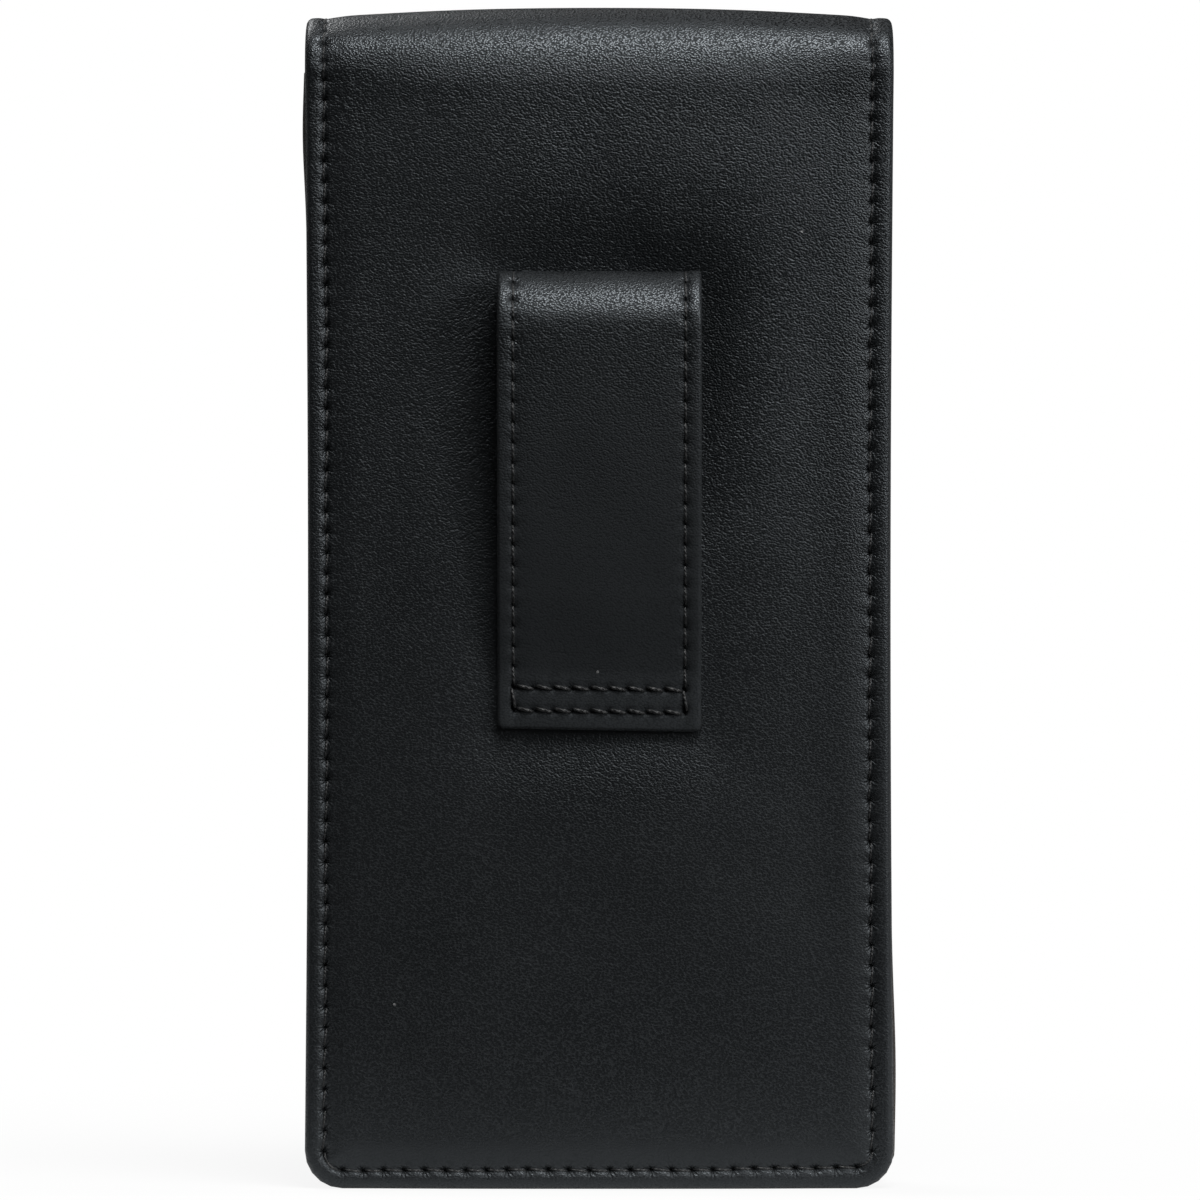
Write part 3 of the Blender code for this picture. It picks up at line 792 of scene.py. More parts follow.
backPanel = {
    "halfWidth": case["halfWidth"],
    "corner": case["corner"],
    "edgeThickness": 1.9 * mm,
    "lip": 1.0 * mm,
    "hubRadius": 1.0 * mm,     # mesh left round the middle of a corner
    "borderWide": 5.8 * mm,
    "edgeWide": 1.0 * mm,      # paler rim
    "thinBy": 0.9,             # the edge of a panel that rolls in gets thinner there
    "thinOver": 2.5 * mm,
    "pull": 0.55 * mm,
    "pillow": 1.1 * mm,
    "puff": 0.5 * mm,          # how far the middle swells past the flat wall
    "swellReach": 15 * mm,
    "lowSwell": 0.28,          # less swelling near the bottom
    "hump": 0.28 * mm,
    "groove": 0.16 * mm,
    "hole": 0.55 * mm,
    "pucker": 0.09 * mm,
    "calm": 0.8,               # over the fold the swelling and the seam calm down
    "calmFrom": 155 * mm,
    "calmOver": 14 * mm,
    "calmSeam": 0.4,
    "insideFrom": 4 * mm,
    "insideOver": 9 * mm,
    "hollow": 0.8 * mm,        # the panel is drawn in round the belt loop
    "hollowWide": 20 * mm,
    "hollowTall": 27 * mm,
    "hollowUp": 17 * mm,       # its middle lies this far above the loop's
    "trough": 1.7 * mm,        # and close beside it more sharply
    "troughWide": 12.5 * mm,
    "troughPower": 1.8,
    "troughFrom": 78 * mm,
    "troughOver": 38 * mm,
    "rightOver": 10 * mm,
    "steeper": 0.3,            # its right side falls off faster
    "deeper": 0.3,             # and goes deeper
    "under": 5 * mm,           # the sharp part starts this far under the loop
    "reach": 20 * mm,
    "sink": 0.7 * mm,          # and pressed in under the strap
    "sinkWide": 6 * mm,
    "sinkPower": 1.6,
    "mouthStep": 0.40 * mm,    # thicker above the pocket's mouth
    "mouthRight": 0.4,         # less so on the right
    "mouthWide": 7 * mm,
    "mouthLead": 1 * mm,
    "mouthOver": 2 * mm,
    "mouthFadeFrom": 120 * mm,
    "mouthFadeOver": 30 * mm,
    "shoulder": 0.3 * mm,      # the panel leans away before the top fold
    "shoulderAt": 158 * mm,
    "shoulderTall": 9 * mm,
    "shoulderFrom": 1 * mm,
    "shoulderOver": 8 * mm,
    "waves": ((0.16 * mm, 46 * mm, 3), (0.05 * mm, 13 * mm, 5)),    # height, length and seed
    "stillFrom": 140 * mm,
    "stillOver": 25 * mm,
    "wander": 0.12 * mm,       # the sewing isn't quite straight
    "rightInset": 0.35 * mm,   # and a little further in on the right
    "stitch": {"slant": 0.16 * mm, "lift": -0.08 * mm, "dip": 0.45 * mm, "radius": 0.20 * mm},
}
backGrainMarks = {
    "low": 0.38,               # smoother low down
    "fullFrom": 45 * mm,
    "fullOver": 75 * mm,
    "pressed": 0.32,           # and on the left
    "pressedFrom": 6 * mm,
    "pressedOver": 16 * mm,
    "pressedTop": 145 * mm,
    "pressedFade": 20 * mm,
    "patch": 0.45,             # apart from a patch just under the loop
    "patchWide": 17 * mm,
    "patchTall": 6 * mm,
    "patchDown": 5 * mm,
}
loopMiddle = (loopLow.z + loopHigh.z) / 2 + backPanel["hollowUp"]


def loopDent(x, s):    # how deep the wall is drawn in round the belt loop
    spec = backPanel
    hollow = spec["hollow"] * bell(x, spec["hollowWide"]) * bell(s - loopMiddle, spec["hollowTall"])
    beside = np.maximum(np.abs(x) - loopHigh.x + spec["under"], 0)
    above = np.maximum(np.abs(s - loopHigh.z + spec["reach"]) - spec["reach"] + spec["under"], 0)
    right = smooth(x / spec["rightOver"])
    wide = spec["troughWide"] * (1 - spec["steeper"] * right)
    deep = spec["trough"] * (1 + spec["deeper"] * right)
    trough = deep * bell(np.hypot(beside, above), wide, spec["troughPower"])
    halfTall = (loopHigh.z - loopLow.z) / 2
    along = np.maximum(np.abs(s - loopLow.z - halfTall) - halfTall, 0)
    sunk = np.hypot(np.maximum(np.abs(x) - loopHigh.x, 0), along)
    sink = spec["sink"] * bell(sunk, spec["sinkWide"], spec["sinkPower"])
    return hollow + trough * ramp(s, spec["troughFrom"], spec["troughOver"]) + sink


def backRelief(x, s, d, q):
    spec = backPanel
    step = spec["mouthStep"] * np.where(x < 0, 1.0, spec["mouthRight"]) * bell(d, spec["mouthWide"])
    step = step * smooth((case["mouth"] + spec["mouthLead"] - s) / spec["mouthOver"])
    step = step * ramp(s, spec["mouthFadeFrom"], spec["mouthFadeOver"])
    lean = spec["shoulder"] * bell(s - spec["shoulderAt"], spec["shoulderTall"])
    lean = lean * ramp(d, spec["shoulderFrom"], spec["shoulderOver"])
    h = wallRelief(x, s, d, q, spec) - step - lean - loopDent(x, s) * insideSeam(d, spec)
    return h + wallWaves(x, s, d, spec) + topArch(x, s, case["top"] - case["foldRadius"])


def backGrain(verts):
    x, z = verts[:, 0], verts[:, 2]
    m = backGrainMarks
    patch = m["patch"] * bell(x, m["patchWide"]) * bell(z - loopLow.z + m["patchDown"], m["patchTall"])
    below = 1 - ramp(z, m["pressedTop"], m["pressedFade"])
    pressed = 1 - m["pressed"] * ramp(-x, m["pressedFrom"], m["pressedOver"]) * below
    full = (1 - m["low"]) * ramp(z, m["fullFrom"], m["fullOver"]) * pressed
    return np.minimum(m["low"] + full + patch, 1) + foldGrain(z, case["top"] - case["foldGrain"])


backPanel["grain"] = backGrain
backPath = foldPath(case["backY"], 0, -1)
backPlace = casePlace(backPath)
backLeather, backSeam = uPanel("backLeather", backPath, backPlace, backRelief, backPanel)
backNodes = ("back_panel", "back_interlining", "top_fold_panel", "top_fold_interlining")
dress(backLeather, "leather", "pouch", *backNodes, bend=backBend)
backStitches = seamStitches("backStitches", backSeam, backPlace, backRelief, backPanel["stitch"])
dress(backStitches, "thread", "pouch", "back_seam", "top_fold_left_seam", bend=backBend)

# flap leather, from the middle of the fold down the front

flapPanel = dict(backPanel)
flapPanel.update({
    "corner": case["flapCorner"],
    "edgeThickness": 2.5 * mm,
    "calmFrom": drop - 15 * mm,
    "waves": ((0.14 * mm, 40 * mm, 8),),
    "stillFrom": drop - 30 * mm,
    "stillOver": 22 * mm,
    "plainGrain": 0.95,
})


def flapRelief(x, s, d, q):
    h = wallRelief(x, s, d, q, flapPanel) + wallWaves(x, s, d, flapPanel)
    return h + topArch(x, s, drop - case["foldRadius"])


def flapGrain(verts):
    return flapPanel["plainGrain"] + foldGrain(verts[:, 2], case["top"] - case["foldGrain"])


flapPanel["grain"] = flapGrain
flapPath = foldPath(case["flapY"], case["flapBottom"], 1)
flapPlace = casePlace(flapPath)
flapLeather, flapSeam = uPanel("flapLeather", flapPath, flapPlace, flapRelief, flapPanel)
dress(flapLeather, "leather", "flap", "flap_panel", "flap_interlining", bend=flapBend)
flapStitches = seamStitches("flapStitches", flapSeam, flapPlace, flapRelief, flapPanel["stitch"])
dress(flapStitches, "thread", "flap", "flap_seam", "top_fold_right_seam", bend=flapBend)

# front leather, rolled over the mouth to the inside

frontPanel = dict(backPanel)
frontPanel.update({
    "pillow": 0.7 * mm,
    "calm": 0,                 # it has no fold
    "waves": ((0.2 * mm, 50 * mm, 12),),
    "stillFrom": case["mouth"] - 12 * mm,
    "stillOver": 9 * mm,
    "grain": flapGrain,
    "rollIn": 9 * mm,
    "thinFrom": case["mouth"] - 3 * mm,
    "tuck": 6.0 * mm,          # narrower where it rolls in between the gusset's two walls
    "tuckLead": 1.2 * mm,
    "tuckOver": 3.0 * mm,
    "rowDown": 2.5 * mm,       # the mouth seam, below the mouth
    "rowGroove": 0.25 * mm,
    "rowWide": 0.5 * mm,
    "rowFrom": 2.9 * mm,
    "rowOver": 1 * mm,
    "rowEnd": 1.8 * mm,
    "rowLift": 0.15 * mm,
    "rowDip": 0.4 * mm,
    "rowRadius": 0.26 * mm,
    "seamPast": 2 * mm,        # the edge seam goes on this far past the mouth
})


def frontPathPoints():
    r = case["wall"] / 2
    y, z = case["frontY"], case["mouth"] - r
    inside = (y - 2 * r, z), (y - 2 * r, z - frontPanel["rollIn"])
    return line((y, 0), (y, z)) + arc((y - r, z), r, 0, 180) + line(*inside) + [inside[1]]


def frontRelief(x, s, d, q):
    spec = frontPanel
    row = bell(s - case["mouth"] + spec["rowDown"], spec["rowWide"])
    row = row * ramp(d, spec["rowFrom"], spec["rowOver"])
    return wallRelief(x, s, d, q, spec) + wallWaves(x, s, d, spec) - spec["rowGroove"] * row


frontPath = makePath(frontPathPoints(), -1)
flatFrontPlace = casePlace(frontPath)


def frontPlace(x, s, h):
    tuck = frontPanel["tuck"] * ramp(s, case["mouth"] - frontPanel["tuckLead"], frontPanel["tuckOver"])
    return flatFrontPlace(x * (1 - tuck / case["halfWidth"]), s, h)


frontLeather, frontSeam = uPanel("frontLeather", frontPath, frontPlace, frontRelief, frontPanel)
dress(frontLeather, "leather", "pouch", "front_panel", "front_interlining")
shown = frontSeam["s"] < case["mouth"] + frontPanel["seamPast"]
frontSeam = {key: values[shown] for key, values in frontSeam.items()}
frontStitches = seamStitches("frontStitches", frontSeam, frontPlace, frontRelief, frontPanel["stitch"])
dress(frontStitches, "thread", "pouch", "front_seam")


def mouthRow():
    spec = frontPanel
    half = case["halfWidth"] - case["seamInset"] - spec["rowEnd"]
    edges = np.linspace(-half, half, round(2 * half / case["stitch"]) + 1)
    x = edges[:-1, None] + np.diff(edges)[:, None] * stitchSteps
    s = np.full(x.shape, case["mouth"] - spec["rowDown"])
    besideHoles = np.full(x.shape, 0.25)
    h = frontRelief(x, s, case["halfWidth"] - np.abs(x), besideHoles)
    h = h + spec["rowLift"] - spec["rowDip"] * (1 - stitchBow)
    return stitchMesh("mouthStitches", x, s, h, frontPlace, spec["rowRadius"])


dress(mouthRow(), "thread", "pouch", "mouth_seam")

# gusset: a strip with a soft channel, sewn between the two panels

gusset = {
    "thickness": 1.1 * mm,
    "edgeInset": 0.45 * mm,
    "edgeRound": 0.8,          # of half the thickness
    "wallIn": 4.4 * mm,
    "bulge": 1.0 * mm,
    "bend": 1.1 * mm,
    "backGap": 3.2 * mm,       # behind the pulled-in back margin
    "frontGap": 2.95 * mm,
    "step": 1.6 * mm,
    "cornerSteps": 12,
    "slip": 0.45 * mm,         # the back flange stands out past the panel in two places
    "slipWide": 2 * mm,
    "slipDeep": 1.5 * mm,
    "upperDown": 9 * mm,       # one at the upper left, below the mouth
    "upperTall": 9 * mm,
    "lowerUp": 18 * mm,        # one at the lower right
    "lowerTall": 13 * mm,
    "sideReach": 0.1 * mm,
    "waves": ((0.12 * mm, 0.31, 0), (0.08 * mm, 0.83, 1)),    # height, turn for each step and start
    "edgeWide": 0.9 * mm,
    "rawWide": 0.3 * mm,
    "grain": 0.8,
    "noHoles": 10.0,           # mm to the nearest row of holes: none on the strip
}


def gussetSection():
    g = gusset
    b, inner, half = g["bend"], g["wallIn"] - g["bend"], g["thickness"] / 2
    yBack = case["backY"] + g["backGap"] + half
    yFront = case["frontY"] - g["frontGap"] - half
    low, high = yBack + b, yFront - b
    points = line((g["edgeInset"], yBack), (inner, yBack), 0.5 * mm)
    points += arc((inner, low), b, -90, 0, 6)
    for t in np.linspace(0, 1, 15)[:-1]:
        points.append((g["wallIn"] + g["bulge"] * math.sin(math.pi * t) ** 2, low + (high - low) * t))
    points += arc((inner, high), b, 0, 90, 6)
    points += line((inner, yFront), (g["edgeInset"], yFront), 0.5 * mm) + [(g["edgeInset"], yFront)]
    path = makePath(points, 1)
    one = path["point"] + path["normal"] * half
    two = path["point"] - path["normal"] * half
    tips = path["point"][[0, -1]] - np.array([half * g["edgeRound"], 0])
    return np.concatenate([tips[:1], one, tips[1:], two[::-1]]), yBack


def makeGusset():
    g = gusset
    section, yBack = gussetSection()
    inward, level = section[:, 0], section[:, 1]
    hw, corner, top, step = case["halfWidth"], case["corner"], case["mouth"], g["step"]
    quarter = np.linspace(0, math.pi / 2, g["cornerSteps"])
    spots = [(-hw, z, 1, 0) for z in np.arange(top, corner, -step)]
    spots += cornerSpots(hw, corner, -1, quarter)
    spots += [(x, 0, 0, 1) for x in np.arange(-(hw - corner) + step, hw - corner, step)]
    spots += cornerSpots(hw, corner, 1, quarter)
    spots += [(hw, z, -1, 0) for z in [*np.arange(corner + step, top, step), top]]
    flange = bell(inward, g["slipWide"]) * (level < yBack + g["slipDeep"])
    verts = []
    for i, (x, z, inX, inZ) in enumerate(spots):
        upper = bell(z - (top - g["upperDown"]), g["upperTall"]) if x < 0 else 0
        lower = bell(z - g["lowerUp"], g["lowerTall"]) if x > hw - g["sideReach"] else 0
        wave = sum(high * math.sin(i * turn + start) for high, turn, start in g["waves"])
        u = inward + wave * np.sin(np.clip(inward / g["wallIn"], 0, 1) * math.pi / 2)
        u = u - g["slip"] * (upper + lower) * flange
        wide = (x + inX * u) * (1 + flare(z) / hw)
        verts.append(np.stack([wide, level, z + inZ * u], -1))
    verts = np.concatenate(verts)
    faces = tubeFaces(np.arange(len(verts)).reshape(len(spots), len(section)))
    flangeFace = len(section) * 20 + 3
    faces = faceOut(verts, faces, flangeFace, np.array([0.0, -1.0, 0.0]))
    marks = {
        "edge": np.tile(bell(inward, g["edgeWide"]), len(spots)),
        "grain": np.full(len(verts), g["grain"]),
        "across": np.full(len(verts), g["noHoles"]),
        "raw": np.tile(bell(np.maximum(inward, 0), g["rawWide"]), len(spots)),
    }
    print(f"gussetLeather: {len(verts)} points")
    return meshObject("gussetLeather", verts, faces, marks)


dress(makeGusset(), "leather", "pouch", "gusset_strip")

# belt loop

loop = {
    "halfWidth": loopHigh.x,
    "leather": 1.0 * mm,
    "strap": 1.8 * mm,
    "lip": 0.9 * mm,
    "foldRadius": 4.5 * mm,
    "foldTall": 8 * mm,        # its outside rolls over more gently than its inside
    "foldLead": 10 * mm,
    "leaf": 14 * mm,
    "sewnEnd": 8.5 * mm,
    "liftOff": 0.7,            # how steeply it leaves the panel, next to its middle
    "liftOver": 0.4,
    "straighten": 8,           # above that it runs straight until just below the fold
    "trim": 0.35 * mm,
    "seamInset": 2.3 * mm,
    "stitch": 2.95 * mm,
    "boxLow": 2.75 * mm,
    "boxHigh": 6.0 * mm,
    "boxStitch": 2.7 * mm,
    "boxTrim": 0.35 * mm,
    "seamStop": 4 * mm,        # the side seams end this far before the inner leaf
    "step": 0.59 * mm,
    "columns": 43,
    "cornerRadius": 0.9 * mm,
    "skew": 0.018,             # the lower end hangs a little lower on the right
    "skewOver": 30 * mm,
    "liesOver": 14 * mm,
    "pull": 0.18 * mm,         # drawn in at the side seams
    "pullWide": 1.8 * mm,
    "crown": 0.25 * mm,        # and a little rounded across
    "crownWide": 7 * mm,
    "calm": 0.75,              # flatter over the fold
    "calmLead": 5 * mm,
    "calmOver": 6 * mm,
    "hump": 0.12 * mm,
    "wave": (0.10 * mm, 21 * mm, 21),    # height, length and seed
    "waveFrom": 4 * mm,
    "grooveWide": 0.40 * mm,
    "sideGroove": 0.08 * mm,
    "boxGroove": 0.10 * mm,
    "hole": 0.45 * mm,
    "holeWide": 0.38 * mm,
    "holeLong": 0.17,          # in stitches
    "pucker": 0.05 * mm,
    "puckerWide": 1.1 * mm,
    "puckerPower": 1.5,
    "sideFade": 0.6 * mm,
    "boxFade": 0.5 * mm,
    "thread": {"dip": 0.42 * mm, "radius": 0.27 * mm, "sideLevel": -0.13 * mm, "boxLevel": 0.10 * mm},
    "sideSlant": 0.08 * mm,
    "boxSlant": 0.26 * mm,
    "edgeWide": 0.8 * mm,
    "sideMarks": 1.4 * mm,     # holes of the side seams are marked this far out
    "lowMarks": 1 * mm,
    "noHoles": 10 * mm,
    "rubbed": 0.9,             # worn dull below the fold
    "rubbedDown": 28 * mm,
    "rubbedOver": 24 * mm,
    "lowGrain": 0.3,
    "grainFrom": 85 * mm,
    "grainOver": 30 * mm,
    "foldDown": 10 * mm,
}


def loopPathPoints():
    radius, tall = loop["foldRadius"], loop["foldTall"]
    sewnY, sewnZ = loopHigh.y - loop["strap"], loopLow.z + loop["sewnEnd"]
    foldY, foldZ = loopHigh.y - radius, loopHigh.z - radius
    points = line((sewnY, loopLow.z + loop["trim"]), (sewnY, sewnZ))
    t = np.linspace(0, 1, 200)
    lift = loop["liftOff"] + (1 - loop["liftOff"]) * smooth(t / loop["liftOver"])
    slope = (1 - t ** loop["straighten"]) * lift
    reach = np.cumsum(slope) - slope[0]
    reach = (foldY - radius - sewnY) * reach / reach[-1]
    points += list(zip(sewnY + reach, sewnZ + (loopHigh.z - tall - sewnZ) * t))[:-1]
    for turn in np.linspace(0, math.pi / 2, 50)[:-1]:
        points.append((foldY - radius * math.cos(turn), loopHigh.z - tall * (1 - math.sin(turn))))
    points += arc((foldY, foldZ), radius, 90, 0, 40)
    leafEnd = (loopHigh.y, foldZ - loop["leaf"])
    return points + line((loopHigh.y, foldZ), leafEnd) + [leafEnd]


loopPath = makePath(loopPathPoints(), 1)
leafStart = loopPath["length"] - loop["leaf"]
foldStart = leafStart - math.pi / 2 * loop["foldRadius"] - loop["foldLead"]


def loopPlace(x, s, h):    # both sewn ends lie in the dent of the panel
    point, normal = sample(loopPath, s)
    tip = 1 - smooth(s / loop["skewOver"])
    z = point[1] + h * normal[1] - loop["skew"] * x * tip
    leaf = ramp(s, foldStart, math.pi * loop["foldRadius"])
    lies = leaf + 1 - ramp(s, loop["boxHigh"], loop["liesOver"])
    return np.stack([x, point[0] + h * normal[0] + loopDent(x, z) * lies, z], -1)


def stitchPit(across, phase, groove):    # a row of stitch holes in its groove
    near = np.abs(phase - np.round(phase))
    pit = groove * bell(across, loop["grooveWide"])
    pit = pit + loop["hole"] * bell(across, loop["holeWide"]) * bell(near, loop["holeLong"])
    fan = np.cos(2 * math.pi * phase) * bell(across, loop["puckerWide"], loop["puckerPower"])
    return -pit - loop["pucker"] * fan


def loopForm(x, s):    # the strap's soft shape, without its stitch holes
    inset = loop["seamInset"]
    d = loop["halfWidth"] - np.abs(x)
    t = np.maximum(d - inset, 0)
    crown = loop["pull"] * bell(t, loop["pullWide"]) + loop["crown"] * bell(t, loop["crownWide"])
    crown = crown * (1 - loop["calm"] * ramp(s, foldStart - loop["calmLead"], loop["calmOver"]))
    high, wave, seed = loop["wave"]
    soft = high * ripple(x, s, wave, seed) * smooth(t / loop["waveFrom"])
    return loop["hump"] * hump(d / inset) - crown + soft


def loopRelief(x, s):
    inset = loop["seamInset"]
    d = loop["halfWidth"] - np.abs(x)
    rows = stitchPit(d - inset, (s - loop["boxHigh"]) / loop["stitch"], loop["sideGroove"])
    rows = rows * ramp(s, loop["boxLow"] - loop["sideFade"], loop["sideFade"])
    between = ramp(d, inset - loop["boxFade"], loop["boxFade"])
    for level in (loop["boxLow"], loop["boxHigh"]):
        rows = rows + between * stitchPit(s - level, x / loop["boxStitch"] + 0.5, loop["boxGroove"])
    return rows + loopForm(x, s)


def loopMarks(x, s, z):
    d = loop["halfWidth"] - np.abs(x)
    low, high, inset = loop["boxLow"], loop["boxHigh"], loop["seamInset"]
    rowGap = np.minimum(np.abs(s - low), np.abs(s - high))
    sideGap = np.abs(d - inset)
    inRow = (sideGap > loop["sideMarks"]) | (s < low - loop["lowMarks"])
    across = np.where(inRow, np.where(d > inset, rowGap, loop["noHoles"]), sideGap)
    full = (1 - loop["lowGrain"]) * ramp(z, loop["grainFrom"], loop["grainOver"])
    return {
        "edge": bell(np.minimum(d, s), loop["edgeWide"]),
        "along": np.where(inRow, x / loop["boxStitch"] + 0.5, (s - high) / loop["stitch"]),
        "across": across / mm,
        "rubbed": 1 - loop["rubbed"] * ramp(z, loopHigh.z - loop["rubbedDown"], loop["rubbedOver"]),
        "grain": loop["lowGrain"] + full + foldGrain(z, loopHigh.z - loop["foldDown"]),
    }


def makeLoop():
    hw, inset = loop["halfWidth"], loop["seamInset"]
    low, high = loop["boxLow"], loop["boxHigh"]
    rim = rimRows(loop["leather"], loop["lip"])
    first = rim[-1][0]
    edge = [(-hw + d, deep) for d, deep in rim + [(d, 0.0) for d in np.linspace(first, inset, 5)[1:]]]
    spread = np.linspace(-hw + inset, hw - inset, loop["columns"])[1:-1]
    columns = edge + [(x, 0.0) for x in spread] + [(-x, deep) for x, deep in reversed(edge)]
    lengths = [*np.linspace(first, low, 5)[1:], *np.linspace(low, high, 7)[1:]]
    lengths += list(np.arange(high + loop["step"], loopPath["length"], loop["step"]))
    rows = rim + [(s, 0.0) for s in lengths]
    (columnX, columnDeep), (rowS, rowDeep) = np.array(columns).T, np.array(rows).T
    x, s = np.meshgrid(columnX, rowS)
    deep = np.maximum(columnDeep, rowDeep[:, None])
    r = loop["cornerRadius"]
    cut = r - np.sqrt(np.maximum(r**2 - np.maximum(r - s, 0) ** 2, 0))
    wide = x * (1 - cut / hw)
    h = loopRelief(x, s) - deep
    verts = loopPlace(wide.ravel(), s.ravel(), h.ravel())
    faces = gridFaces(np.arange(x.size).reshape(x.shape))
    middle = (len(rows) // 3) * (len(columns) - 1) + len(columns) // 2
    faces = faceOut(verts, faces, middle, np.array([0.0, -1.0, 0.0]))
    print(f"loopLeather: {x.size} points")
    return meshObject("loopLeather", verts, faces, loopMarks(x.ravel(), s.ravel(), verts[:, 2]))


dress(makeLoop(), "leather", "pouch", "belt_loop_strap")


def loopRow(name, runs, pitch, slant, level, node):    # stitches along straight runs on the strap
    allX, allS = [], []
    lean = slant * stitchLean
    for (xa, sa), (xb, sb) in runs:
        count = max(1, round(math.hypot(xb - xa, sb - sa) / pitch))
        places = (np.arange(count)[:, None] + stitchSteps) / count
        upright = abs(sb - sa) > abs(xb - xa)
        allX.append(xa + (xb - xa) * places + (lean if upright else 0))
        allS.append(sa + (sb - sa) * places + (0 if upright else lean))
    x, s = np.concatenate(allX), np.concatenate(allS)
    h = loopForm(x, s) + level - loop["thread"]["dip"] * (1 - stitchBow)
    stitches = stitchMesh(name, x, s, h, loopPlace, loop["thread"]["radius"])
    return dress(stitches, "thread", "pouch", node)


def sewLoop():
    side = loop["halfWidth"] - loop["seamInset"]
    low, high, pitch = loop["boxLow"], loop["boxHigh"], loop["stitch"]
    seamEnd = high + pitch * int((leafStart - loop["seamStop"] - high) / pitch)
    for name, at in (("Left", -side), ("Right", side)):
        run = (at, high), (at, seamEnd)
        node = f"belt_loop_{name.lower()}_seam"
        loopRow(f"loop{name}Stitches", [run], pitch, loop["sideSlant"], loop["thread"]["sideLevel"], node)
    half = side - loop["boxTrim"]
    box = [((-half, s), (half, s)) for s in (low, high)] + [((x, low), (x, high)) for x in (-side, side)]
    boxLook = loop["boxStitch"], loop["boxSlant"], loop["thread"]["boxLevel"]
    loopRow("loopBoxStitches", box, *boxLook, "belt_loop_box_seam")


sewLoop()

# linings

liningForm = {
    "thickness": 0.6 * mm,
    "inset": 1.0 * mm,
    "edgeGap": 0.4 * mm,
    "pocketHalf": case["halfWidth"] - 5.4 * mm,
    "floor": 5.4 * mm,
    "step": 2.5 * mm,
    "foldStep": 0.7 * mm,      # closer together where it bends
    "foldLong": 16 * mm,
    "overlap": 3 * mm,         # the front lining goes up behind the rolled-in leather
    "mouthGap": 0.6 * mm,      # it gets wider this far above the mouth
    "flapUp": 0.2 * mm,
    "cornerGap": 2 * mm,
    "loopGap": 0.15 * mm,
    "loopEdge": 0.45 * mm,
    "loopStart": 0.5 * mm,
    "loopStep": 1.0 * mm,
}
wideHalf = case["halfWidth"] - liningForm["inset"] - liningForm["edgeGap"]


def makeLoopLining():
    form = liningForm
    s = np.arange(form["loopStart"], loopPath["length"], form["loopStep"])
    width = np.full(len(s), loop["halfWidth"] - form["loopEdge"])
    high = -loop["leather"] - form["loopGap"]
    return slab("loopLining", loopPlace, width, s, high, -loop["strap"], 10)


def wallLining(name, place, width, s):
    return slab(name, place, width, s, -case["wall"] + liningForm["thickness"], -case["wall"])


def foldSteps(start, path):
    return [*np.arange(start, path["length"], liningForm["foldStep"]), path["length"]]


def backLiningPlace(x, s, h):
    return backPlace(x, s, h + topArch(x, s, case["top"] - case["foldRadius"]) - loopDent(x, s))


def flapLiningPlace(x, s, h):
    return flapPlace(x, s, h + topArch(x, s, drop - case["foldRadius"]))


def makeBackLining():
    form, mouth = liningForm, case["mouth"]
    s = [*np.arange(form["floor"], mouth, form["step"]), *foldSteps(mouth + form["mouthGap"], backPath)]
    width = np.where(np.array(s) < mouth, form["pocketHalf"], wideHalf)
    return wallLining("backLining", backLiningPlace, width, s)


def makeFlapLining():
    form = liningForm
    bottom = form["inset"] + form["flapUp"]
    corner = case["flapCorner"] - form["inset"]
    foldFrom = flapPath["length"] - form["foldLong"]
    rounded = bottom + corner * (1 - np.cos(np.linspace(0, math.pi / 2, 10)))
    straight = np.arange(bottom + corner + form["cornerGap"], foldFrom, form["step"])
    s = np.array([*rounded, *straight, *foldSteps(foldFrom, flapPath)])
    short = np.clip(corner - (s - bottom), 0, corner)
    width = wideHalf - corner + np.sqrt(corner**2 - short**2)
    return wallLining("flapLining", flapLiningPlace, width, s)


def makeFrontLining():
    top = case["mouth"] - frontPanel["rollIn"] + liningForm["overlap"]
    s = np.arange(liningForm["floor"], top, liningForm["step"])
    return wallLining("frontLining", frontPlace, np.full(len(s), liningForm["pocketHalf"]), s)


dress(makeLoopLining(), "lining", "pouch", "belt_loop_lining", "belt_loop_anchor_seam")
dress(makeBackLining(), "lining", "pouch", "back_lining", "top_fold_lining", bend=backBend)
dress(makeFlapLining(), "lining", "flap", "flap_lining", bend=flapBend)
dress(makeFrontLining(), "lining", "pouch", "front_lining")
print("linings made")

# magnetic snap: turned parts with softened edges

snap = {
    "z": (cupLow.z + cupHigh.z) / 2,
    "radius": cupHigh.x,
    "segments": 72,
    "sharpAngle": 35,
    "gap": 0.3 * mm,           # between a plate and the leather, and the magnet and its cup
    "plate": 0.5 * mm,
    "plateRound": 0.25 * mm,
    "nub": 2.1 * mm,
    "nubRound": 0.4 * mm,
    "stem": 1.5 * mm,
    "cupWall": 0.5 * mm,
    "rimRound": 0.15 * mm,
    "edgeRound": 0.1 * mm,
    "magnetHole": 2.5 * mm,
}


def turnedPiece(name, profile, closed):
    turns = 2 * math.pi * np.arange(snap["segments"]) / snap["segments"]
    verts = np.array([(r * math.cos(t), y, snap["z"] + r * math.sin(t)) for r, y in profile for t in turns])
    index = np.arange(len(verts)).reshape(len(profile), snap["segments"])
    if closed:
        index = np.concatenate([index, index[:, :1]], axis=1)
        faces = gridFaces(np.concatenate([index, index[:1]], axis=0))
    else:
        faces = tubeFaces(index)
    obj = meshObject(name, verts, faces)
    bm = bmesh.new()
    bm.from_mesh(obj.data)
    bmesh.ops.recalc_face_normals(bm, faces=bm.faces)
    bm.to_mesh(obj.data)
    bm.free()
    obj.data.shade_smooth()
    obj.data.set_sharp_from_angle(angle=math.radians(snap["sharpAngle"]))
    return obj


